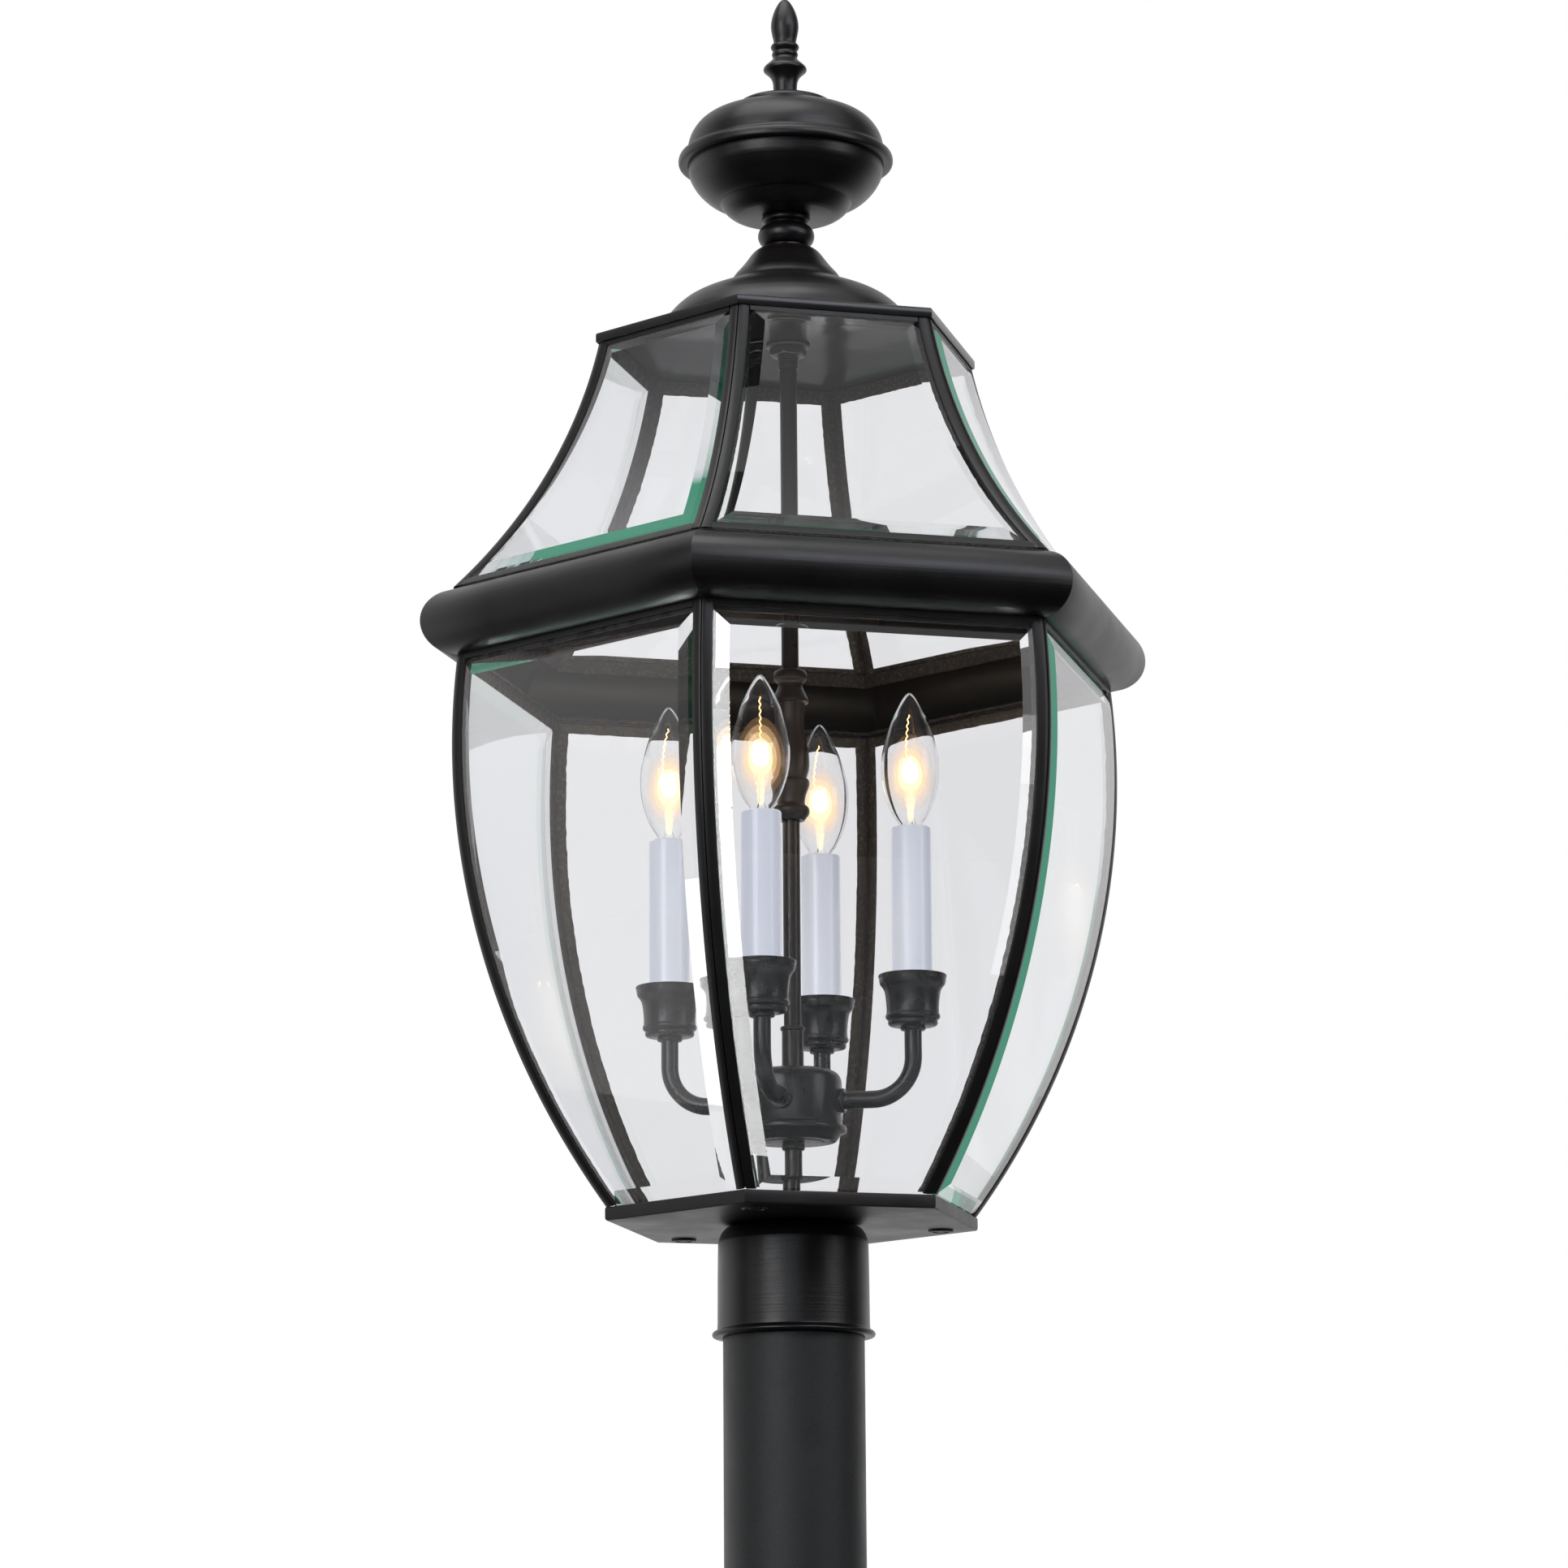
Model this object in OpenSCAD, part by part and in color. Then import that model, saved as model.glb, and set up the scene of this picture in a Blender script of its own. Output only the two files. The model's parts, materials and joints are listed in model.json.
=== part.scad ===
/* [Post] */
// Outside diameter of the round post tube
post_d = 76.2; // [70:0.1:80]
// Wall of the post tube
post_wall = 3; // [2:0.5:5]
// Length of post below the fitter's rim
stub_len = 130; // [60:1:400]

/* [Fitter and base pan] */
// Height from the fitter's rim to the underside of the base pan
fitter_h = 60.5; // [50:0.5:90]
// Outside radius of the rolled bead at the fitter's rim
fitter_rim_r = 44; // [43:0.5:50]
// Corner radius of the hexagonal base pan
pan_corner_r = 104.6; // [104:0.1:108]
// Height of the pan's upturned lip, floor included
pan_lip_h = 7.3; // [6:0.1:7.5]

/* [Glass body] */
// Bend radius of the body panes' outer face
body_bend_r = 460; // [455:1:465]
// Distance from the axis to the middle of a body side at its widest
body_half_w = 164.5; // [163:0.5:168]
// Thickness of the glass
glass_t = 2.9; // [2:0.1:3]
// Width of a rib's leaf on each side of its corner
leaf_w = 5.5; // [4:0.5:8]

/* [Bullnose band] */
// Radius of the half-round roll
roll_r = 18; // [17:0.5:19]
// Sheet thickness of the roll
roll_wall = 1.2; // [0.8:0.1:2]

/* [Roof] */
// Bend radius of the roof panes' outer face
roof_bend_r = 307; // [305:1:310]
// Corner radius of the hexagonal top plate
plate_corner_r = 109.6; // [109.6:0.1:112]

/* [Candles] */
// Distance from the axis to each candle
candle_r = 67; // [60:0.5:72]
// Outside radius of the white candle sleeve
sleeve_r = 11.05; // [10.5:0.05:12]
// Greatest radius of the bulb's glass
bulb_r = 15.9; // [14:0.1:17]

/* [Hidden] */

// Finishes
black = [0.10, 0.09, 0.09];
bronze = [0.20, 0.17, 0.15];
post_grey = [0.20, 0.22, 0.22];
nickel = [0.75, 0.74, 0.72];
brass = [0.78, 0.62, 0.32];
candle_white = [0.93, 0.94, 0.96];
ceramic_white = [0.88, 0.86, 0.82];
clear = [0.85, 0.93, 0.91, 0.35];

$fn = 96;
fine = 360;
eps = 0.1;
gap = 0.3;
sides = 6;
hexa = 60;
half_side = 30;

// Heights, measured from the lower end of the post stub
rim_z = stub_len;
pan_z = rim_z + fitter_h;
lip_z = pan_z + pan_lip_h;
sheet = 1.5;
pan_floor_z = pan_z + sheet;
socket_z = pan_z - 4;
post_top_z = socket_z - 0.5;
tenon_r = post_d / 2 - 1;
body_bend_z = rim_z + 318.5;
roll_z = rim_z + 384;
body_z0 = lip_z + 0.2;
body_z1 = roll_z - roll_r;
seat_z = roll_z + roll_r + 1.2;
roof_z0 = seat_z + gap;
plate_lip_z = rim_z + 546.5;
ceiling_z = rim_z + 551;
plate_z = ceiling_z + 1.2;
roof_bend_z = rim_z + 606.4;
roof_bend_x = 394.7;
crown_z = rim_z + 608;
canopy_z = rim_z + 627;
canopy_rim_z = rim_z + 656.5;
cap_z = rim_z + 689.3;
finial_z = cap_z + 5.7;
tip_z = rim_z + 754.5;

// Layers of a glazed side, as depths below its outer face
leaf_t = 1;
glass_in = leaf_t + 0.05;
glass_out = glass_in + glass_t;
side_t = glass_out + 0.05 + leaf_t;
web_w = 1;
seam = 0.15;
pane_inset = 1.3;
rail_out_w = 3;
rail_in_w = 5.5;
side_len = 260;
wedge_len = 230;

// Rod, hub and candles
rod_r = 4.75;
thread_r = 4;
rod_hole_r = 4.85;
loose_hole_r = 5.3;
hub_z = rim_z + 106;
hub_r = 26.5;
arm_z = rim_z + 128;
arm_r = 4.7;
arm_bend_r = 22;
cup_z = rim_z + 167;
cup_h = 27.7;
sleeve_z0 = cup_z + 3;
sleeve_z1 = rim_z + 275.6;
socket_top_z = sleeve_z1 - 7.5;
bulb_tip_z = rim_z + 350.2;
candle_angles = [-120, -30, 60, 150];
cage_screw_r = 83.5;
cage_screw_angles = [-120, 0, 120];
set_screw_angles = [-15, 165];

// Points of an arc about c, from angle a0 to a1
function arc(c, r, a0, a1, n = 8) =
    [for (i = [0:n]) let (a = a0 + (a1 - a0) * i / n) c + r * [cos(a), sin(a)]];

// A closed outline: an upward profile and the same profile moved towards the axis
function walled(p, w) = let (n = len(p)) concat(
    p,
    [for (i = [n - 1:-1:0])
        let (a = p[max(i - 1, 0)], b = p[min(i + 1, n - 1)], t = (b - a) / norm(b - a))
        p[i] + w * [-t[1], t[0]]]
);

// Turned solid with a straight bore, from an upward profile
module turned(p, bore = 0)
    rotate_extrude()
        polygon(concat([[bore, p[0][1]]], p, [[bore, p[len(p) - 1][1]]]));

module turned_shell(p, w)
    rotate_extrude() polygon(walled(p, w));

module tube(r, bore, z0, z1)
    translate([0, 0, z0])
        difference() {
            cylinder(r = r, h = z1 - z0);
            translate([0, 0, -1]) cylinder(r = bore, h = z1 - z0 + 2);
        }

// Hexagonal prism with corners on the X axis
module hex_prism(r, z0, z1)
    translate([0, 0, z0]) cylinder(r = r, h = z1 - z0, $fn = sides);

// Hexagonal ring given by its distances from the axis to the flats
module hex_ring(outer, inner, z0, z1)
    difference() {
        hex_prism(outer / cos(half_side), z0, z1);
        hex_prism(inner / cos(half_side), z0 - 1, z1 + 1);
    }

// Turn side n of the hexagon from +X to its place; side 1 faces -Y
module on_side(n) rotate([0, 0, hexa * (n - 1) - 90]) children();

module at_candle(n) rotate([0, 0, candle_angles[n - 1]]) translate([candle_r, 0, 0]) children();

// One side's sector, moved in from both corner planes
module sector(inset, z0, z1) {
    x = wedge_len;
    y = (x - 2 * inset) * tan(half_side);
    translate([0, 0, z0]) linear_extrude(z1 - z0) polygon([[2 * inset, 0], [x, -y], [x, y]]);
}

// Layer of a cylinder that lies along Y, between two radii
module bent_sheet(x, z, r0, r1)
    rotate([90, 0, 0]) translate([x, z, -side_len / 2]) linear_extrude(side_len) difference() {
        circle(r = max(r0, r1), $fn = fine);
        circle(r = min(r0, r1), $fn = fine);
    }

// Layer of a glazed side between depths t0 and t1: the body bows out, the roof sweeps in
module layer(roof, t0, t1)
    if (roof)
        bent_sheet(roof_bend_x, roof_bend_z, roof_bend_r + t0, roof_bend_r + t1);
    else
        bent_sheet(body_half_w - body_bend_r, body_bend_z, body_bend_r - t0, body_bend_r - t1);

module pane(roof, z0, z1)
    intersection() {
        layer(roof, glass_in, glass_out);
        sector(pane_inset, z0, z1);
    }

// Upright slab beside a side's corner plane at +Y, between two distances from that plane
module corner_slab(w0, w1, z0, z1) {
    near = 60;
    far = wedge_len;
    slope = tan(half_side);
    translate([0, 0, z0]) linear_extrude(z1 - z0) polygon([
        [near, (near - 2 * w1) * slope], [far, (far - 2 * w1) * slope],
        [far, (far - 2 * w0) * slope], [near, (near - 2 * w0) * slope]
    ]);
}

// Half of a rib: two leaves and the web between them, with a fine seam at the corner plane
module half_rib(roof, z0, z1)
    difference() {
        intersection() {
            layer(roof, 0, side_t);
            corner_slab(seam, leaf_w, z0, z1);
        }
        intersection() {
            layer(roof, leaf_t, side_t - leaf_t);
            corner_slab(web_w, leaf_w + 2, z0 - 1, z1 + 1);
        }
    }

// Rib at the corner between sides n and n + 1
module rib(n, roof, z0, z1) {
    on_side(n) half_rib(roof, z0, z1);
    on_side(n + 1) mirror([0, 1, 0]) half_rib(roof, z0, z1);
}

// Channel between two ribs that holds a pane's edge; up is 1 at a lower edge and -1 at an upper edge
module rail(roof, z, up, out_w, in_w) {
    inset = leaf_w + 0.05;
    for (s = [[0, leaf_t, out_w], [0, side_t, 1.2], [side_t - leaf_t, side_t, in_w]])
        intersection() {
            layer(roof, s[0], s[1]);
            sector(inset, min(z, z + up * s[2]), max(z, z + up * s[2]));
        }
}

module post() color(post_grey) {
    bore = post_d / 2 - post_wall;
    difference() {
        union() {
            cylinder(r = post_d / 2, h = rim_z);
            cylinder(r = tenon_r, h = post_top_z);
        }
        translate([0, 0, -1]) cylinder(r = bore, h = post_top_z + 2);
    }
}

module fitter() color(black) {
    bore = post_d / 2 + 0.3;
    wall_r = 41;
    bead = 1.6;
    shoulder = 9;
    difference() {
        turned(concat(
            [[bore, rim_z]],
            arc([fitter_rim_r - bead, rim_z + bead], bead, -90, 90),
            [[wall_r + 0.2, rim_z + 2 * bead + 1]],
            arc([wall_r - 0.5 - shoulder, pan_z - shoulder], shoulder, 0, 90)
        ));
        translate([0, 0, rim_z - 1]) cylinder(r = bore, h = socket_z - rim_z + 1);
        cylinder(r = rod_hole_r, h = tip_z);
        for (a = set_screw_angles)
            rotate([0, 0, a]) translate([bore - 1, 0, rim_z + 30])
                rotate([0, 90, 0]) cylinder(r = 3, h = 10);
    }
}

// Flush socket screws that clamp the fitter to the post
module set_screws() color(nickel) {
    socket_depth = 1;
    screw_len = 3.4;
    for (a = set_screw_angles)
        rotate([0, 0, a]) translate([tenon_r, 0, rim_z + 30]) rotate([0, 90, 0]) difference() {
            cylinder(r = 2.95, h = screw_len);
            translate([0, 0, screw_len - socket_depth]) cylinder(r = 1.7, h = 2, $fn = sides);
        }
}

module base_pan() color(black) {
    wall = 1.2 / cos(half_side);
    difference() {
        hex_prism(pan_corner_r, pan_z, lip_z);
        hex_prism(pan_corner_r - wall, pan_floor_z, lip_z + 1);
        cylinder(r = rod_hole_r, h = tip_z);
        for (a = cage_screw_angles)
            rotate([0, 0, a]) translate([cage_screw_r, 0, 0]) cylinder(r = 2.6, h = tip_z);
    }
}

// Low round-head screws from below, one under every second corner
module cage_screws() color(bronze) {
    head = [[6.7, pan_z - 0.5], [6.7, pan_z]];
    for (a = cage_screw_angles)
        rotate([0, 0, a]) translate([cage_screw_r, 0, 0]) difference() {
            union() {
                turned(concat([[3.5, pan_z - 1.3], [5.4, pan_z - 1.1]], head));
                translate([0, 0, pan_z - eps]) cylinder(r = 2.4, h = 8);
            }
            for (b = [0, 90])
                rotate([0, 0, b]) translate([-2.4, -0.5, pan_z - 2]) cube([4.8, 1, 1.5]);
        }
}

module hex_nut(across, z0, z1, bore)
    difference() {
        hex_prism(across / 2 / cos(half_side), z0, z1);
        translate([0, 0, z0 - 1]) cylinder(r = bore, h = z1 - z0 + 2);
    }

// Nuts that clamp the rod to the fitter and the pan
module rod_nuts() color(nickel) {
    hex_nut(17, socket_z - 5, socket_z, rod_hole_r);
    hex_nut(17, pan_floor_z, pan_floor_z + 4.5, rod_hole_r);
}

module centre_rod() color(bronze) {
    translate([0, 0, socket_z - 9]) cylinder(r = rod_r, h = finial_z - 1 - socket_z + 9);
    translate([0, 0, finial_z - 2]) cylinder(r = thread_r, h = 22);
}

// Turned baluster that dresses the middle of the rod
module spindle() color(bronze) {
    z = rim_z + 283;
    turned(concat(
        [[5.2, z], [8.3, z + 2.5]],
        arc([8.3, z + 5.5], 1.9, -70, 70, 5),
        [[7.6, z + 10], [9.1, z + 17]],
        arc([8.4, z + 20.8], 1.8, -70, 70, 5),
        [[8.5, z + 24], [9.6, z + 26.5], [10.2, z + 30], [10.1, z + 36], [8.8, z + 43]],
        [[7.5, z + 50], [7.4, z + 56], [8, z + 64], [8.2, z + 65.8], [9.9, z + 66.4], [9.9, z + 67.8]],
        [[8.4, z + 71], [6.9, z + 75.5]],
        arc([7.4, z + 80.8], 2, -70, 70, 5),
        [[5.3, z + 84.5]]
    ), rod_hole_r);
}

module hub_sleeve() color(bronze) {
    z0 = hub_z + 39.5;
    z1 = z0 + 24;
    turned(concat(
        [[5.95, z0], [5.95, z1 - 2.4]],
        arc([5.6, z1 - 1.2], 1.2, -60, 90, 6)
    ), rod_hole_r);
}

// Hollow body that the arms screw into and that holds the wire joints
module hub_body() color(black) {
    wall = 1.5;
    top_z = hub_z + 39.5;
    low_z = hub_z + 9.5;
    difference() {
        turned(concat([[hub_r, low_z]], arc([hub_r - 7.5, top_z - 7.5], 7.5, 0, 90)));
        turned(concat(
            [[hub_r - wall, low_z - 1]],
            arc([hub_r - 7.5, top_z - 7.5], 7.5 - wall, 0, 90)
        ));
        cylinder(r = rod_hole_r, h = tip_z);
        for (a = candle_angles)
            rotate([0, 0, a]) translate([hub_r - 5, 0, arm_z])
                rotate([0, 90, 0]) cylinder(r = arm_r + 0.05, h = 10);
    }
}

// Dished lower cover of the hub, with a spigot inside the body
module hub_cap() color(black) {
    floor_t = 1.5;
    spigot_r = hub_r - 1.6;
    difference() {
        union() {
            turned(concat(
                [[22.5, hub_z], [24.2, hub_z + 1.2], [26.2, hub_z + 4.4]],
                arc([27.6, hub_z + 6.6], 1.5, -45, 60, 5),
                [[26.9, hub_z + 9.4]]
            ));
            cylinder_at(spigot_r, hub_z + 5, hub_z + 13);
        }
        cylinder_at(spigot_r - 1.5, hub_z + floor_t, hub_z + 14);
        cylinder(r = rod_hole_r, h = tip_z);
    }
}

module cylinder_at(r, z0, z1) translate([0, 0, z0]) cylinder(r = r, h = z1 - z0);

module hub_ring() color(bronze)
    turned([[5.8, hub_z - 4], [6.2, hub_z - 3.2], [6.2, hub_z - 0.8], [5.8, hub_z]], rod_hole_r);

// Rounded collars where the arms leave the hub
module arm_collars() color(black)
    for (a = candle_angles)
        rotate([0, 0, a]) translate([0, 0, arm_z]) rotate([0, 90, 0])
            intersection() {
                turned(concat(
                    [[6.4, hub_r - 1.3]],
                    arc([5.4, hub_r + 1.5], 1.2, 0, 90, 4)
                ), arm_r + 0.05);
                difference() {
                    cylinder_at(10, hub_r - 2, hub_r + 4);
                    rotate([0, 90, 0]) translate([0, 0, -20]) cylinder(r = hub_r, h = 40);
                }
            }

// Bent tube: out of the hub, round a quarter bend and up to the cup
module arm(n) color(black) {
    bore = arm_r - 1.1;
    start = hub_r - 4;
    bend_x = candle_r - arm_bend_r;
    rotate([0, 0, candle_angles[n - 1]]) difference() {
        arm_rod(arm_r, start, bend_x, cup_z + 12);
        arm_rod(bore, start - 1, bend_x, cup_z + 13);
    }
}

module arm_rod(r, start, bend_x, top) {
    translate([start, 0, arm_z]) rotate([0, 90, 0]) cylinder(r = r, h = bend_x - start);
    translate([bend_x, 0, arm_z + arm_bend_r]) rotate([90, 0, 0])
        rotate_extrude(angle = 90, start = -90) translate([arm_bend_r, 0]) circle(r = r, $fn = 32);
    translate([candle_r, 0, arm_z + arm_bend_r]) cylinder(r = r, h = top - arm_z - arm_bend_r);
}

module cup_nuts() color(bronze)
    for (n = [1:4])
        at_candle(n) turned([[6.3, cup_z - 2.6], [6.8, cup_z - 2.1], [6.8, cup_z - 0.5], [6.3, cup_z]],
            arm_r + 0.05);

// Turned cup under each candle, open at the top
module candle_cup() color(black)
    difference() {
        turned([
            [12.4, cup_z], [13.3, cup_z + 0.7], [13.5, cup_z + 1.8], [13.1, cup_z + 2.9],
            [14.3, cup_z + 3.6], [14.8, cup_z + 4.9], [14.3, cup_z + 6.3], [14.2, cup_z + 8],
            [14.5, cup_z + 12], [15, cup_z + 16.5], [15.6, cup_z + 19.8], [17, cup_z + 22],
            [17.9, cup_z + 23.6], [18.1, cup_z + 26], [18.4, cup_z + cup_h]
        ]);
        cylinder_at(arm_r + 0.05, cup_z - 1, cup_z + 4);
        cylinder_at(sleeve_r + 0.1, cup_z + 3, cup_z + 18);
        cylinder_at(14.4, cup_z + 18, cup_z + cup_h + 1);
    }

module candle_sleeve() color(candle_white)
    tube(sleeve_r, sleeve_r - 1.2, sleeve_z0, sleeve_z1);

// Lamp holders on hollow stems, hidden in the sleeves
module lamp_sockets() color(ceramic_white)
    for (n = [1:4])
        at_candle(n) difference() {
            union() {
                cylinder_at(arm_r + 1.4, cup_z + 6, socket_top_z - 34);
                cylinder_at(9.3, socket_top_z - 35, socket_top_z);
            }
            cylinder_at(arm_r + 0.05, cup_z + 5, cup_z + 12.2);
            cylinder_at(2, cup_z + 5, socket_top_z);
            cylinder_at(6.2, socket_top_z - 27, socket_top_z + 1);
        }

// Channel ring inside the pan, with a tab over each screw
module cage_bottom_frame() color(bronze) {
    outer = 88.6;
    inner = 80;
    seat = pan_floor_z + 0.02;
    difference() {
        union() {
            hex_ring(outer, inner, seat, seat + 1.3);
            hex_ring(inner + 1.2, inner, seat, lip_z + 1.5);
            for (a = cage_screw_angles)
                rotate([0, 0, a]) translate([0, 0, seat]) {
                    translate([cage_screw_r, 0, 0]) cylinder(r = 6, h = 2);
                    translate([cage_screw_r, -6, 0]) cube([8.4, 12, 2]);
                }
        }
        for (a = cage_screw_angles)
            rotate([0, 0, a]) translate([cage_screw_r, 0, 0]) cylinder(r = 2.45, h = tip_z);
    }
}

module cage_ribs() color(black)
    for (n = [1:sides]) rib(n, false, body_z0, body_z1);

module cage_top_rails() color(black)
    for (n = [1:sides]) on_side(n) rail(false, body_z1, -1, rail_out_w, rail_in_w);

// Flat ring on top of the roll that the roof rests on
module roof_seat_frame() color(bronze) {
    outer = 164;
    inner = 156;
    hex_ring(outer, inner, seat_z - 1.2, seat_z);
    hex_ring(inner + 1, inner, seat_z - 8, seat_z - 1);
}

module body_pane(n) color(clear)
    on_side(n) pane(false, pan_floor_z + 3, body_z1 - 1.4);

// Six mitred lengths of half-round roll with flat soldering flanges
module bullnose() color(black)
    for (n = [1:sides])
        on_side(n) intersection() {
            rotate([90, 0, 0]) translate([0, 0, -side_len / 2]) linear_extrude(side_len) roll_section();
            sector(0.05, roll_z - roll_r - 1, roll_z + roll_r + 1);
        }

module roll_section() {
    x = 162;
    flange = 4.5;
    difference() {
        translate([x, roll_z]) circle(r = roll_r, $fn = fine);
        translate([x, roll_z]) circle(r = roll_r - roll_wall, $fn = fine);
        translate([x - 2 * roll_r, roll_z - 2 * roll_r]) square([2 * roll_r, 4 * roll_r]);
    }
    for (z = [roll_z - roll_r, roll_z + roll_r - roll_wall])
        translate([x - flange, z]) square([flange + eps, roll_wall]);
}

module roof_ribs() color(black)
    for (n = [1:sides]) rib(n, true, roof_z0, ceiling_z - 0.1);

module roof_rails() color(black)
    for (n = [1:sides]) on_side(n) {
        rail(true, roof_z0, 1, 4.5, 5);
        rail(true, ceiling_z - 0.1, -1, 7.5, 7.5);
    }

module roof_panes() color(clear)
    for (n = [1:sides]) on_side(n) pane(true, roof_z0 + 1.4, ceiling_z - 1.5);

module top_plate() color(black) {
    wall = 1.2 / cos(half_side);
    difference() {
        hex_prism(plate_corner_r, plate_lip_z, plate_z);
        hex_prism(plate_corner_r - wall, plate_lip_z - 1, ceiling_z);
        cylinder(r = loose_hole_r, h = tip_z);
    }
}

// Washer, nut and bush on the rod that carry the roof's plate
module roof_washer() color(nickel)
    tube(12.2, rod_hole_r, ceiling_z - 1.5, ceiling_z - 0.2);

module roof_nut() color(nickel)
    difference() {
        hex_prism(10.6, ceiling_z - 6.5, ceiling_z - 1.5);
        cylinder(r = 6.15, h = tip_z);
    }

module threaded_bush() color(bronze)
    tube(6.1, rod_hole_r, ceiling_z - 14, ceiling_z - 1.5);

// Spun crown: a low dome under a flared neck
module crown() color(black) {
    base_z = plate_z;
    dome = concat(
        [[71.5, base_z], [71.5, base_z + 1.2], [71, rim_z + 557.6], [68.5, rim_z + 563], [64.6, rim_z + 568.8]],
        [[61.2, rim_z + 572.6], [57.5, rim_z + 575.7], [45, rim_z + 581.8], [31.5, rim_z + 586.8]]
    );
    neck = [
        [30.4, rim_z + 588.6], [28.6, rim_z + 591], [25.6, rim_z + 594.6], [22.9, rim_z + 598.2],
        [20.6, rim_z + 601.6], [18.5, rim_z + 604.2], [15.8, rim_z + 606.7], [12, crown_z]
    ];
    difference() {
        turned_shell(concat(dome, neck), 1.2);
        cylinder_at(8, crown_z - 3, crown_z - 1.2);
    }
    tube(12, loose_hole_r, crown_z - 1.2, crown_z);
}

module ball_spacer() color(black) {
    z = rim_z + 615.6;
    turned(concat(
        [[11.8, crown_z], [11.8, crown_z + 0.8]],
        arc([9, z], 6.75, -62, 62, 10),
        [[11.7, canopy_z - 4.3], [13.4, canopy_z - 3.4], [13.4, canopy_z - 0.6], [12.8, canopy_z]]
    ), loose_hole_r);
}

// Lower bowl of the canopy
module canopy_bowl() color(black) {
    profile = [
        [loose_hole_r + 2, canopy_z], [27.6, canopy_z], [30.5, canopy_z + 1], [33.8, canopy_z + 3.6],
        [36.2, canopy_z + 7.3], [37.2, canopy_z + 7.8], [42.5, canopy_z + 10], [47.2, canopy_z + 13.7],
        [51, canopy_z + 18.2], [53.7, canopy_z + 23], [54.7, canopy_z + 28]
    ];
    turned_shell(profile, 1.2);
    tube(loose_hole_r + 2.5, loose_hole_r, canopy_z, canopy_z + 1.2);
}

// Upper shell of the canopy, with its turned-out rim
module canopy_shell() color(black)
    turned_shell([
        [58.6, canopy_rim_z], [59.8, canopy_rim_z + 0.8], [60.1, canopy_rim_z + 2.6],
        [59.7, canopy_rim_z + 4.6], [58.2, canopy_rim_z + 6.2], [55.8, canopy_rim_z + 8.2],
        [54.7, canopy_rim_z + 10.8], [54.2, canopy_rim_z + 13.9], [52.5, canopy_rim_z + 18.5],
        [49.8, canopy_rim_z + 22.9], [47, canopy_rim_z + 25.8], [43, canopy_rim_z + 28],
        [37, canopy_rim_z + 30.2], [28, canopy_rim_z + 32.6], [8, cap_z]
    ], 1.2);

module canopy_cap() color(black)
    turned([
        [26.2, cap_z], [26.9, cap_z + 1], [26.9, cap_z + 4.4], [25.6, cap_z + 5.4], [20, finial_z]
    ], loose_hole_r);

// Threaded brass bush pressed into the finial
module finial_insert() color(brass)
    tube(5.6, thread_r + 0.1, finial_z + gap, finial_z + 11);

module finial() color(black) {
    z = finial_z + gap;
    difference() {
        turned(concat(
            [[6.6, z], [6.6, z + 2], [6.8, z + 8.5], [7.4, z + 11.5], [8.6, z + 13.5], [10.4, z + 15.4]],
            [[11.9, z + 16.6], [12.1, z + 18], [11.5, z + 19.6], [8.4, z + 22.6], [7.1, z + 23.4]],
            [[6.7, z + 24.8]],
            arc([6.4, z + 26.6], 1, -60, 60, 4),
            [[6.6, z + 28.4]],
            arc([6.7, z + 30.9], 1.3, -60, 60, 4),
            [[6.3, z + 33], [6.6, z + 35.2], [7.3, z + 38.6], [7.75, z + 42], [7.6, z + 44.8]],
            [[7, z + 48], [5.9, z + 51.2], [4.1, z + 55], [2, z + 57.8], [0, tip_z]]
        ));
        cylinder_at(5.65, z - 1, finial_z + 11.3);
        cylinder_at(thread_r + 0.3, z, finial_z + 24);
    }
}

// Screw shell and contact of a small candle lamp
module bulb_base() color(brass) {
    z = socket_top_z;
    turned([[1.6, z - 26], [2.4, z - 24.4], [5.2, z - 22.5], [5.9, z - 20], [5.9, z - 0.4]]);
}

// Clear torpedo envelope with its neck on the screw shell, and the mount inside
module bulb() {
    z = socket_top_z;
    zs = sleeve_z1;
    envelope = [
        [5.7, z], [5.8, zs - 2], [6.5, zs + 1.5], [8.6, zs + 5.2], [11, zs + 9.6],
        [13.3, zs + 15.6], [15, zs + 21.8], [bulb_r - 0.15, zs + 28], [bulb_r, zs + 33],
        [bulb_r - 0.25, zs + 39], [14.4, zs + 45.2], [12.9, zs + 51], [10.9, zs + 57.2],
        [8.1, zs + 63.4], [5.5, zs + 69], [3.2, zs + 72.8], [1.2, bulb_tip_z]
    ];
    color(clear) {
        difference() {
            turned(envelope);
            turned([for (p = envelope) [max(p[0] - 0.7, 0.01), p[1] + (p[1] > zs + 60 ? -1.2 : 0.9)]]);
        }
        cylinder_at(2.2, z, zs + 18);
    }
    color(nickel)
        for (x = [-1.9, 1.9]) translate([x, 0, zs + 12]) cylinder(r = 0.35, h = 24, $fn = 16);
}

post();
fitter();
set_screws();
base_pan();
cage_screws();
rod_nuts();
centre_rod();
spindle();
hub_sleeve();
hub_body();
hub_cap();
hub_ring();
arm_collars();
cup_nuts();
lamp_sockets();
cage_bottom_frame();
cage_ribs();
cage_top_rails();
roof_seat_frame();
bullnose();
roof_nut();
roof_washer();
threaded_bush();
roof_ribs();
roof_rails();
roof_panes();
top_plate();
crown();
ball_spacer();
canopy_bowl();
canopy_shell();
canopy_cap();
finial_insert();
finial();
for (n = [1:len(candle_angles)]) {
    arm(n);
    at_candle(n) candle_cup();
    at_candle(n) candle_sleeve();
    at_candle(n) bulb_base();
    at_candle(n) bulb();
}
for (n = [1:sides])
    body_pane(n);
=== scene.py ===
import json
import math
import bpy
import bmesh
from mathutils import Matrix, Vector, noise

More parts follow.
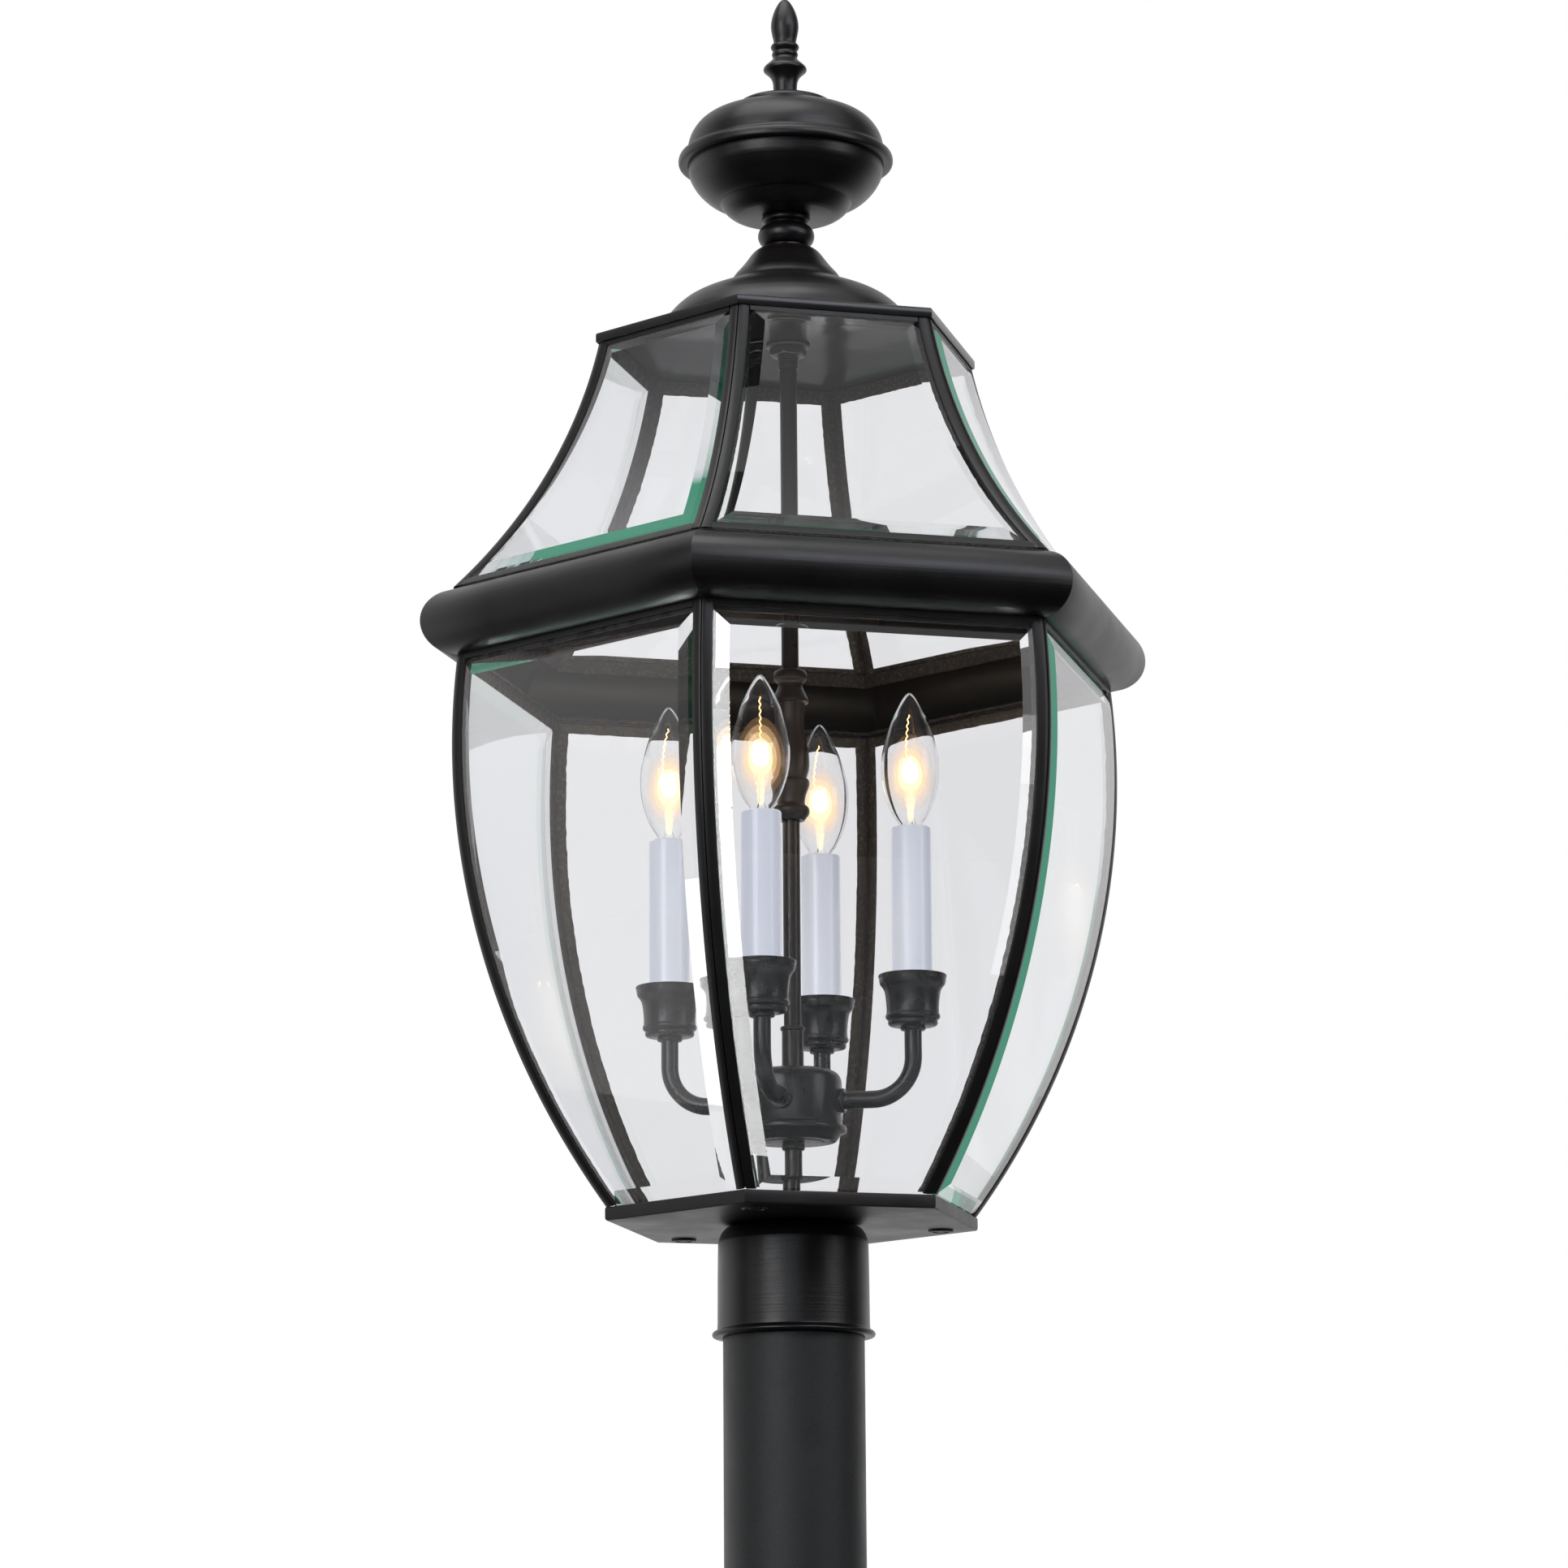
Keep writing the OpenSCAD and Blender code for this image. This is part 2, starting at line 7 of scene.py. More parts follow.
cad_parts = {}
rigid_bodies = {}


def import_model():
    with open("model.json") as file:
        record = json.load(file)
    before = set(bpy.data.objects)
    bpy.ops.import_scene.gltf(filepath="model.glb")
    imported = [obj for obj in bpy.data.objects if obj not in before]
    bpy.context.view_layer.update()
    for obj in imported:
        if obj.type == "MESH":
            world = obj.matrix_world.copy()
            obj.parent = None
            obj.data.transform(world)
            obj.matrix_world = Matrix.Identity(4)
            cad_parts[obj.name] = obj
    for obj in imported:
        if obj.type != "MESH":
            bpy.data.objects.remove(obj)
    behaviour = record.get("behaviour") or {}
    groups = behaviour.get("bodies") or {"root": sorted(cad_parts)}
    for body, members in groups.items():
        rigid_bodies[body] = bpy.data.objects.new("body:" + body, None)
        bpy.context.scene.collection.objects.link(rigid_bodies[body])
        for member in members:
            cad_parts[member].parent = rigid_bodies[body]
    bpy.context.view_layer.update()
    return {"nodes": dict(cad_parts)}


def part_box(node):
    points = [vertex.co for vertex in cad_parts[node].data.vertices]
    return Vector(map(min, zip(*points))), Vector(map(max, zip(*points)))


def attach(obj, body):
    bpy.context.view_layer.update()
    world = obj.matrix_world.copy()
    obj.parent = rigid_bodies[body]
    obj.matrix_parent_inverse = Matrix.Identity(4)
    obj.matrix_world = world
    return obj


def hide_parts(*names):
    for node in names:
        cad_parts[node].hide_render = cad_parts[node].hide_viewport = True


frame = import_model()

# Post lantern: six bent, bevelled panes below and six above, a half-round band between them, turned
# metalwork and four candles. Metres; profiles are in millimetres. Side 1 faces -Y and the numbers run
# anticlockwise seen from above.


MM = 0.001
TINY = 1e-6
TURN = 2 * math.pi
SIDES = 6
HALF = math.radians(180 / SIDES)        # between a side's middle and its mitre
TAN_HALF, COS_HALF = math.tan(HALF), math.cos(HALF)


def low(node):
    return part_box(node)[0].z


def high(node):
    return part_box(node)[1].z


# ---------------------------------------------------------------- materials

def new_material(name):
    m = bpy.data.materials.new(name)
    m.use_nodes = True
    nodes = m.node_tree.nodes
    return m, nodes, m.node_tree.links, nodes["Principled BSDF"]


def noise_node(nodes, links, scale, detail=4, rough=0.5, stretch=None):
    coord = nodes.new("ShaderNodeTexCoord")
    n = nodes.new("ShaderNodeTexNoise")
    n.inputs["Scale"].default_value = scale
    n.inputs["Detail"].default_value = detail
    n.inputs["Roughness"].default_value = rough
    if stretch:
        mp = nodes.new("ShaderNodeMapping")
        mp.inputs["Scale"].default_value = stretch
        links.new(coord.outputs["Object"], mp.inputs["Vector"])
        links.new(mp.outputs["Vector"], n.inputs["Vector"])
    else:
        links.new(coord.outputs["Object"], n.inputs["Vector"])
    return n


def ramp(nodes, links, source, stops):
    r = nodes.new("ShaderNodeValToRGB")
    r.color_ramp.elements[0].position, r.color_ramp.elements[0].color = stops[0][0], stops[0][1]
    r.color_ramp.elements[1].position, r.color_ramp.elements[1].color = stops[-1][0], stops[-1][1]
    for pos, colour in stops[1:-1]:
        e = r.color_ramp.elements.new(pos)
        e.color = colour
    links.new(source, r.inputs["Fac"])
    return r


def grey(v):
    return (v, v, v, 1)


def shade(c, k):
    return (c[0] * k, c[1] * k, c[2] * k, 1)


CLOUD_SCALE = 34                        # patches about 30 mm across
GRAIN_HEIGHT, RING_HEIGHT, SOLDER_HEIGHT = 0.30 * MM, 0.15 * MM, 0.40 * MM


def bump_node(nodes, links, source, strength, height):
    b = nodes.new("ShaderNodeBump")
    b.inputs["Strength"].default_value = strength
    b.inputs["Distance"].default_value = height
    links.new(source, b.inputs["Height"])
    return b


def painted(name, colour, rough, grain, bump, metallic=0.0, spread=0.15, spun=0.0, specular=0.5,
            coat=0.0):
    """Paint or patina: cloudy colour, uneven gloss, a fine grain and, if spun, faint turning rings."""
    m, nodes, links, bsdf = new_material(name)
    cloud = noise_node(nodes, links, CLOUD_SCALE, 5, 0.6).outputs["Fac"]
    tint = ramp(nodes, links, cloud, [(0.3, shade(colour, 1 - spread)), (0.7, shade(colour, 1 + spread))])
    gloss = ramp(nodes, links, cloud, [(0.3, grey(rough * 0.88)), (0.72, grey(rough * 1.12))])
    fine = noise_node(nodes, links, grain, 3, 0.55)
    relief = bump_node(nodes, links, fine.outputs["Fac"], bump, GRAIN_HEIGHT)
    if spun:
        rings = noise_node(nodes, links, 1, 5, 0.7, stretch=(5, 5, 600))
        under = bump_node(nodes, links, rings.outputs["Fac"], spun, RING_HEIGHT)
        links.new(under.outputs["Normal"], relief.inputs["Normal"])
    links.new(tint.outputs["Color"], bsdf.inputs["Base Color"])
    links.new(gloss.outputs["Color"], bsdf.inputs["Roughness"])
    links.new(relief.outputs["Normal"], bsdf.inputs["Normal"])
    bsdf.inputs["Metallic"].default_value = metallic
    bsdf.inputs["Specular IOR Level"].default_value = specular
    bsdf.inputs["Coat Weight"].default_value = coat
    bsdf.inputs["Coat Roughness"].default_value = 0.25
    return m


def soldered(name, dark, bright, rough):
    """Blackened solder: dark patina, rubbed through in fine bright grains."""
    m, nodes, links, bsdf = new_material(name)
    grains = noise_node(nodes, links, 520, 6, 0.72).outputs["Fac"]
    tint = ramp(nodes, links, grains, [(0.50, dark + (1,)), (0.70, bright + (1,))])
    gloss = ramp(nodes, links, grains, [(0.4, grey(rough * 1.2)), (0.7, grey(rough * 0.8))])
    relief = bump_node(nodes, links, grains, 0.8, SOLDER_HEIGHT)
    links.new(tint.outputs["Color"], bsdf.inputs["Base Color"])
    links.new(gloss.outputs["Color"], bsdf.inputs["Roughness"])
    links.new(relief.outputs["Normal"], bsdf.inputs["Normal"])
    bsdf.inputs["Metallic"].default_value = 0.35
    return m


# Light caught between a pane's faces for more than this many reflections ends in a painted green glow, standing
# in for the green of the glass
CAUGHT, CAUGHT_GREEN_GLOW = 8.5, (0.10, 0.36, 0.25, 1)


def glass(name, tint, rough, ior, absorb=None, density=0.0):
    m, nodes, links, bsdf = new_material(name)
    bsdf.inputs["Base Color"].default_value = tint
    bsdf.inputs["Transmission Weight"].default_value = 1.0
    bsdf.inputs["IOR"].default_value = ior
    faint = noise_node(nodes, links, 7, 2)
    gloss = ramp(nodes, links, faint.outputs["Fac"], [(0.3, grey(0.0)), (0.8, grey(rough))])
    links.new(gloss.outputs["Color"], bsdf.inputs["Roughness"])
    if absorb:
        v = nodes.new("ShaderNodeVolumeAbsorption")
        v.inputs["Color"].default_value = absorb
        v.inputs["Density"].default_value = density
        links.new(v.outputs["Volume"], nodes["Material Output"].inputs["Volume"])
        ray = nodes.new("ShaderNodeLightPath")
        deep = nodes.new("ShaderNodeMath")
        deep.operation = "GREATER_THAN"
        deep.inputs[1].default_value = CAUGHT
        links.new(ray.outputs["Glossy Depth"], deep.inputs[0])
        # Painted light: an even green glow where a path has stayed too long inside the glass
        green = nodes.new("ShaderNodeEmission")
        green.inputs["Color"].default_value = CAUGHT_GREEN_GLOW
        mix = nodes.new("ShaderNodeMixShader")
        links.new(deep.outputs[0], mix.inputs["Fac"])
        links.new(bsdf.outputs[0], mix.inputs[1])
        links.new(green.outputs[0], mix.inputs[2])
        links.new(mix.outputs[0], nodes["Material Output"].inputs["Surface"])
    return m


def glowing(name, colour, strength, alpha=1.0):
    """Light of its own, slightly uneven, with no gloss; a low alpha makes a veil of it."""
    m, nodes, links, bsdf = new_material(name)
    flick = noise_node(nodes, links, 900, 2)
    r = ramp(nodes, links, flick.outputs["Fac"], [(0.2, shade(colour, 0.92)), (0.8, shade(colour, 1.0))])
    bsdf.inputs["Base Color"].default_value = (0, 0, 0, 1)
    bsdf.inputs["Specular IOR Level"].default_value = 0.0
    bsdf.inputs["Roughness"].default_value = 1.0
    links.new(r.outputs["Color"], bsdf.inputs["Emission Color"])
    bsdf.inputs["Emission Strength"].default_value = strength
    bsdf.inputs["Alpha"].default_value = alpha
    return m


BLACK = painted("black_paint", (0.0020, 0.0012, 0.0014), 0.35, 900, 0.06, spun=0.8)
PAN = painted("pan_paint", (0.0055, 0.0042, 0.0045), 0.40, 900, 0.12)
CAME = painted("came_paint", (0.0035, 0.0028, 0.0028), 0.38, 700, 0.25, specular=0.4)
SOLDER = soldered("soldered_bronze", (0.010, 0.0075, 0.006), (0.085, 0.070, 0.058), 0.38)
TROUGH = painted("trough_bronze", (0.0050, 0.0036, 0.0028), 0.42, 500, 0.3, spread=0.2, specular=0.3)
HUB = painted("hub_paint", (0.0042, 0.0043, 0.0044), 0.27, 800, 0.08)
BRONZE = painted("rod_bronze", (0.0105, 0.0080, 0.0068), 0.30, 700, 0.2, metallic=0.15)
POST = painted("post_paint", (0.0075, 0.0085, 0.0090), 0.45, 2300, 0.35, spread=0.06, specular=0.4)
PLATE = painted("plate_paint", (0.006, 0.006, 0.006), 0.22, 900, 0.08)
NICKEL = painted("dull_nickel", (0.15, 0.145, 0.14), 0.30, 500, 0.2, metallic=1.0)
BRASS = painted("plain_brass", (0.62, 0.45, 0.20), 0.3, 500, 0.15, metallic=1.0)
CERAMIC = painted("ceramic_white", (0.74, 0.71, 0.66), 0.6, 900, 0.2, spread=0.04)
WHITE = painted("sleeve_white", (0.84, 0.86, 0.93), 0.14, 300, 0.03, spread=0.02, coat=0.4)
# A painted glow, even and bluish, brightens the sleeves; it stands in for the lamps shining through them a
# little
through = WHITE.node_tree.nodes["Principled BSDF"]
through.inputs["Emission Color"].default_value = (0.80, 0.86, 1.0, 1)
through.inputs["Emission Strength"].default_value = 0.35
PANE = glass("pane_glass", (0.982, 0.955, 0.975, 1), 0.006, 1.5, (0.34, 0.75, 0.64, 1), 14)
# Painted light on the panes' edges: the ground edges glow pale as if lit, and the edges hidden in the upper
# channels glow nearly black, a painted shade
EDGE_GLOW = glowing("ground_edge", (0.60, 0.64, 0.62), 1.0)
EDGE_SHADE = glowing("hidden_edge", (0.03, 0.03, 0.03), 1.0)
BULB = glass("bulb_glass", (1, 1, 1, 1), 0.0, 1.30)
# Painted light: the lamps' leads and supports glow orange, standing in for the filament's light on them
WIRE_GLOW = glowing("support_wire", (1.0, 0.60, 0.24), 4.5)
FILAMENT = glowing("filament", (1.0, 0.80, 0.48), 90)
# Veils of a lamp's glow, each an egg: (its green and blue, strength, alpha), (radius, half height, centre
# above the sleeve in mm). The first is the streak along the stem, the second the bright core.
VEILS = (((0.84, 0.58, 1.6, 0.45), (2.0, 12.0, 15)), ((0.96, 0.88, 3.2, 0.90), (4.6, 6.6, 31)),
         ((0.84, 0.54, 2.1, 0.40), (6.6, 10.0, 30)), ((0.68, 0.32, 1.8, 0.22), (8.7, 13.5, 30)),
         ((0.62, 0.30, 1.6, 0.13), (10.9, 17.5, 30)), ((0.55, 0.24, 1.3, 0.05), (13.2, 21.5, 30)))
GLOW = [glowing("glow_%d" % i, (1.0, g, b), strength, alpha)
        for i, ((g, b, strength, alpha), _) in enumerate(VEILS)]


def make(name, bm, mats, body, sharp=28, stand=()):
    """A mesh becomes a piece: its materials, the body it rides on and the CAD nodes it stands for."""
    bmesh.ops.recalc_face_normals(bm, faces=bm.faces)
    me = bpy.data.meshes.new(name)
    bm.to_mesh(me)
    bm.free()
    for m in mats if isinstance(mats, (list, tuple)) else [mats]:
        me.materials.append(m)
    me.shade_smooth()
    me.set_sharp_from_angle(angle=math.radians(sharp))
    o = bpy.data.objects.new(name, me)
    bpy.context.scene.collection.objects.link(o)
    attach(o, body)
    if stand:
        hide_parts(*stand)
    return o


def smooth_line(points, corners=(), n=5):
    """Catmull-Rom line through the points, broken at the numbered corners."""
    stops = sorted(set([0, len(points) - 1]) | set(corners))
    out = []
    for a, b in zip(stops, stops[1:]):
        run = points[a:b + 1]
        steps = n if len(run) > 2 else 1
        for i in range(len(run) - 1):
            p1, p2 = Vector(run[i]), Vector(run[i + 1])
            p0 = Vector(run[i - 1]) if i else p1
            p3 = Vector(run[i + 2]) if i + 2 < len(run) else p2
            for k in range(steps):
                t = k / steps
                q = 0.5 * (2 * p1 + (p2 - p0) * t + (2 * p0 - 5 * p1 + 4 * p2 - p3) * t * t
                           + (3 * p1 - p0 - 3 * p2 + p3) * t ** 3)
                out.append((max(q.x, 0.0), q.y))
    out.append(tuple(points[-1]))
    return out


def circle(bm, r, z, seg, centre=(0, 0)):
    angles = [TURN * k / seg for k in range(seg)]
    return [bm.verts.new((centre[0] + r * math.cos(a), centre[1] + r * math.sin(a), z)) for a in angles]


def skin(bm, rings, mat=0):
    """Faces between each closed ring of vertices and the next; a ring of one vertex is a tip."""
    for a, b in zip(rings, rings[1:]):
        count = max(len(a), len(b))
        for k in range(count if count > 1 else 0):
            j = (k + 1) % count
            if len(a) == 1:
                f = bm.faces.new((a[0], b[j], b[k]))
            elif len(b) == 1:
                f = bm.faces.new((a[k], a[j], b[0]))
            else:
                f = bm.faces.new((a[k], a[j], b[j], b[k]))
            f.material_index = mat


def lathe(bm, profile, centre=(0, 0), seg=96, closed=False, mat=0):
    """Turn a (radius, height) line in metres about the vertical through centre."""
    rings = [circle(bm, r, z, seg, centre) if r > TINY else [bm.verts.new((*centre, z))] for r, z in profile]
    if closed:
        rings.append(rings[0])
    skin(bm, rings, mat)


def turned(name, profile, material, body, stand=(), corners=(), n=5, centres=((0, 0),), seg=96,
           sharp=28, closed=True):
    """One or several turned pieces from a profile of (radius in mm, height in metres)."""
    bm = bmesh.new()
    pts = smooth_line([(r * MM, z) for r, z in profile], corners, n)
    for c in centres:
        lathe(bm, pts, c, seg, closed)
    return make(name, bm, material, body, sharp, stand)


def up(z, rows):
    """Profile rows given as (radius in mm, height in mm above z), with the height brought to metres."""
    return [(r, z + h * MM) for r, h in rows]


def side_point(n, x, y, z):
    """Point in side n's own axes (outward x, along y) turned into the shared frame."""
    a = math.radians(60 * (n - 1) - 90)
    return Vector((x * math.cos(a) - y * math.sin(a), x * math.sin(a) + y * math.cos(a), z))


class Arc:
    """The bend of a glazed side: (outward distance, height) at an angle and a depth below its face."""

    def __init__(self, cx, cz, r, inward):
        self.cx, self.cz, self.r, self.s = cx, cz, r, inward

    def at(self, angle, depth):
        r = self.r - self.s * depth
        return self.cx + self.s * r * math.cos(angle), self.cz + r * math.sin(angle)

    def angle(self, z, depth=0.0):
        return math.asin((z - self.cz) / (self.r - self.s * depth))


# The body bulges outward, and the roof is hollow
rim = low("fitter")
BODY = Arc(-295.5 * MM, rim + 318.5 * MM, 460 * MM, 1)
ROOF = Arc(394.7 * MM, rim + 606.4 * MM, 307 * MM, -1)


def sweep(bm, sections, second=()):
    """Skin a row of closed sections and cap it; edges numbered in second take the second material."""
    rows = [[bm.verts.new(p) for p in s] for s in sections]
    k = len(rows[0])
    for a, b in zip(rows, rows[1:]):
        for i in range(k):
            j = (i + 1) % k
            bm.faces.new((a[i], a[j], b[j], b[i])).material_index = 1 if i in second else 0
    bm.faces.new(rows[0])
    bm.faces.new(list(reversed(rows[-1])))


def lump(p, size, amount):
    """Deterministic unevenness, as left by a soldering iron."""
    q = p / size
    return amount * (noise.noise(q) + 0.5 * noise.noise(q * 2.3 + Vector((5, 1, 9))))


# ---------------------------------------------------------------- panes

# In mm; the depths run inward from the outer face of the ribs
BEVEL, INSET = 12.5, 1.3
FACE_DEPTH, EDGE_DEPTH, BACK_DEPTH = -1.2, 2.0, 3.9
PANE_ROWS = 56


def pane(name, arc, n, z0, z1, body, stand):
    """Bent pane of side n, its outer face bevelled along all four edges."""
    a0, a1 = arc.angle(z0), arc.angle(z1)
    step = BEVEL * MM / arc.r
    angles = [a0] + [a0 + step + (a1 - a0 - 2 * step) * i / PANE_ROWS for i in range(PANE_ROWS + 1)] + [a1]
    last = len(angles) - 1
    bm = bmesh.new()
    outer, inner = [], []
    for i, a in enumerate(angles):
        ro, ri = [], []
        for sign, at_rib in ((-1, True), (-1, False), (1, False), (1, True)):
            depth = EDGE_DEPTH if at_rib or i in (0, last) else FACE_DEPTH
            cut = INSET if at_rib else INSET + BEVEL
            for store, d in ((ro, depth), (ri, BACK_DEPTH)):
                x, z = arc.at(a, d * MM)
                y = sign * (x * TAN_HALF - cut * MM / COS_HALF)
                store.append(bm.verts.new(side_point(n, x, y, z)))
        outer.append(ro)
        inner.append(ri)
    for i in range(last):
        for k in range(3):
            q = (outer[i][k], outer[i][k + 1], outer[i + 1][k + 1], outer[i + 1][k])
            if i not in (0, last - 1) or k == 1:
                bm.faces.new(q)
            elif (i == 0) == (k == 0):      # a corner: two bevels meet on its diagonal
                bm.faces.new((q[0], q[1], q[2]))
                bm.faces.new((q[0], q[2], q[3]))
            else:
                bm.faces.new((q[0], q[1], q[3]))
                bm.faces.new((q[1], q[2], q[3]))
            bm.faces.new((inner[i][k], inner[i + 1][k], inner[i + 1][k + 1], inner[i][k + 1]))
        # The side edges take the pale painted glow
        for k in (0, 3):
            bm.faces.new((outer[i][k], outer[i + 1][k], inner[i + 1][k], inner[i][k])).material_index = 1
    # The lower edge takes the pale painted glow too; the upper edge, hidden in its channel, takes the dark
    # painted shade
    for i in (0, last):
        for k in range(3):
            f = bm.faces.new((outer[i][k], outer[i][k + 1], inner[i][k + 1], inner[i][k]))
            f.material_index = 2 if i else 1
    o = make(name, bm, [PANE, EDGE_GLOW, EDGE_SHADE], body, 4, stand)
    o.visible_shadow = False


for n in range(1, SIDES + 1):
    node = "body_pane_%d" % n
    pane("bevelled_body_pane_%d" % n, BODY, n, low(node), high(node), "lantern", (node,))
for n in range(1, SIDES + 1):
    pane("bevelled_roof_pane_%d" % n, ROOF, n, low("roof_panes"), high("roof_panes"), "roof",
         ("roof_panes",) if n == 1 else ())

# ---------------------------------------------------------------- ribs and rails

# Half of a rib's section, in mm: (width from the mitre, depth). The inner leaf is soldered.
LEAF_OUT = [(0.12, 1.1), (0.35, 0.35), (1.0, 0.02), (2.6, -0.18), (4.4, -0.05), (5.3, 0.25), (5.5, 0.95)]
LEAF_IN = [(1.15, 1.0), (1.15, 3.95), (5.2, 4.0), (5.9, 4.5), (5.2, 5.4), (3.2, 6.0), (1.4, 6.1), (0.15, 5.7)]
LEAF = LEAF_OUT + LEAF_IN
RIB_ROWS = 170
RIB_GRAIN, RIB_LUMP = 3.5 * MM, 0.32 * MM


def half_rib(bm, arc, n, mirror, z0, z1):
    a0, a1 = arc.angle(z0), arc.angle(z1)
    sections = []
    for i in range(RIB_ROWS + 1):
        a = a0 + (a1 - a0) * i / RIB_ROWS
        pts = []
        for k, (w, t) in enumerate(LEAF):
            x, z = arc.at(a, t * MM)
            y = x * TAN_HALF - w * MM / COS_HALF
            p = side_point(n, x, y * mirror, z)
            if k > len(LEAF_OUT) + 1:
                d = lump(p, RIB_GRAIN, RIB_LUMP)
                x, z = arc.at(a, t * MM + d)
                y = x * TAN_HALF - max(w * MM + 0.6 * d * (w > 1), 0.1 * MM) / COS_HALF
                p = side_point(n, x, y * mirror, z)
            pts.append(p)
        sections.append(pts)
    sweep(bm, sections, range(len(LEAF_OUT) + 1, len(LEAF)))


def ribs(name, arc, body, stand):
    """Six mitred ribs between the panes, each in two halves."""
    bm = bmesh.new()
    for n in range(1, SIDES + 1):
        for mirror in (-1, 1):
            half_rib(bm, arc, n, mirror, low(stand), high(stand))
    make(name, bm, [CAME, SOLDER], body, 30, (stand,))


ribs("body_cames", BODY, "lantern", "cage_ribs")
ribs("roof_cames", ROOF, "roof", "roof_ribs")

RAIL_END = 5.45                         # mm from a rail's end to the mitre, under the rib
RAIL_STEP = 2.2 * MM
RAIL_GRAIN, RAIL_LUMP = 4 * MM, 0.4 * MM
RAIL_SMOOTH = 6                         # points of the section before its soldered ones


def rail_ring(bm, arc, z, direction, out_w, in_w):
    """Channel along the panes' upper (-1) or lower (1) edge at z, on all six sides."""
    shape = [(0, -0.1), (out_w * 0.5, -0.15), (out_w, 0.3), (out_w, 0.95), (1.2, 1.0), (1.2, 3.95),
             (in_w, 4.0), (in_w + 0.2, 4.6), (in_w * 0.6, 5.5), (0, 5.4)]
    for n in range(1, SIDES + 1):
        x0, _ = arc.at(arc.angle(z), 0)
        span = x0 * TAN_HALF - RAIL_END * MM / COS_HALF
        count = max(24, int(2 * span / RAIL_STEP))
        sections = []
        for i in range(count + 1):
            y = -span + 2 * span * i / count
            pts = []
            for k, (h, t) in enumerate(shape):
                x, zz = arc.at(arc.angle(z + direction * h * MM), t * MM)
                p = side_point(n, x, y, zz)
                if k >= RAIL_SMOOTH:
                    d = lump(p, RAIL_GRAIN, RAIL_LUMP)
                    x, zz = arc.at(arc.angle(z + direction * (h * MM + d)), t * MM + d)
                    p = side_point(n, x, y, zz)
                p.z = min(p.z, z) if direction < 0 else max(p.z, z)
                pts.append(p)
            sections.append(pts)
        sweep(bm, sections, range(RAIL_SMOOTH, len(shape)))


bm = bmesh.new()
rail_ring(bm, BODY, high("cage_top_rails"), -1, 3, 5.5)
make("body_top_channels", bm, [CAME, SOLDER], "lantern", 30, ("cage_top_rails",))
bm = bmesh.new()
rail_ring(bm, ROOF, low("roof_rails"), 1, 4.5, 5)
rail_ring(bm, ROOF, high("roof_rails"), -1, 7.0, 7.5)
make("roof_channels", bm, [CAME, SOLDER], "roof", 30, ("roof_rails",))


HEX_GRAIN = 4 * MM
ELSEWHERE = Vector((1, 2, 3))           # where the unevenness in height is taken from


def hex_loop(bm, section, lumps=0.0, cuts=1):
    """Closed hexagonal moulding with a section of (distance to flat in mm, height in metres)."""
    rows = []
    for n in range(1, SIDES + 1):
        for c in range(cuts):
            row = []
            for d, z in section:
                y = (2 * c / cuts - 1) * d * MM * TAN_HALF
                p = side_point(n, d * MM, y, z)
                if lumps:
                    out = lump(p, HEX_GRAIN, lumps * MM)
                    rise = 0.5 * lump(p + ELSEWHERE, HEX_GRAIN, lumps * MM)
                    p = side_point(n, d * MM + out, y, z + rise)
                row.append(bm.verts.new(p))
            rows.append(row)
    skin(bm, rows + rows[:1])


# Bullnose: six mitred lengths of sheet, rolled to a half round and dull bronze inside
ROLL_X, LIP_X, SHEET, ROLL_STEPS = 162, 157.6, 1.2, 32
roll_c = (low("bullnose") + high("bullnose")) / 2
roll_r = (high("bullnose") - low("bullnose")) / 2 / MM
inside = roll_r - SHEET
half_turn = [math.radians(180 * i / ROLL_STEPS - 90) for i in range(ROLL_STEPS + 1)]
section = [(ROLL_X + roll_r * math.cos(a), roll_r * math.sin(a)) for a in half_turn]
section += [(LIP_X, roll_r), (LIP_X, inside)]
inner_from = len(section) - 1
section += [(ROLL_X + inside * math.cos(a), inside * math.sin(a)) for a in reversed(half_turn)]
section += [(LIP_X, -inside), (LIP_X, -roll_r)]
# Along a length: (fraction of its half, gap at the mitre in mm, easing of the outer edge in mm)
STATIONS = ((-1, 0.06, 0.16), (-1, 0.5, 0), (-0.5, 0, 0), (0, 0, 0), (0.5, 0, 0), (1, 0.5, 0), (1, 0.06, 0.16))
bm = bmesh.new()
for n in range(1, SIDES + 1):
    rows = []
    for along, gap, ease in STATIONS:
        pts = []
        for k, (x, h) in enumerate(section):
            y = along * (x * TAN_HALF - gap / COS_HALF)
            if ease and k < inner_from:
                v = Vector((x - ROLL_X, h))
                v = v * (1 - ease / v.length)
                x, h = ROLL_X + v.x, v.y
            pts.append(side_point(n, x * MM, y * MM, roll_c + h * MM))
        rows.append(pts)
    sweep(bm, rows, range(inner_from, inner_from + len(half_turn)))
make("bullnose_band", bm, [BLACK, TROUGH], "lantern", 30, ("bullnose",))

# Solder along the trough's edges and in its corners
bm = bmesh.new()
for s in (1, -1):
    z = roll_c - s * (roll_r - 1.3) * MM
    hex_loop(bm, [(156.4, z), (156.6, z + s * 1.6 * MM), (158.5, z + s * 2.3 * MM), (162.5, z + s * 2.2 * MM),
                  (165.2, z + s * 1.2 * MM), (166.2, z)], lumps=0.75, cuts=70)
make("trough_solder", bm, SOLDER, "lantern", 40)

bm = bmesh.new()
seat = high("roof_seat_frame")
hex_loop(bm, up(seat, [(156.2, -7.8), (156.0, -4), (156.1, -0.4), (156.6, -0.1), (163.6, -0.1), (163.9, -0.9),
                       (157.4, -1.2), (157.1, -7.8)]), lumps=0.22, cuts=60)
make("seat_ring", bm, SOLDER, "lantern", 30, ("roof_seat_frame",))

# Base pan and top plate
PER_SIDE = 8


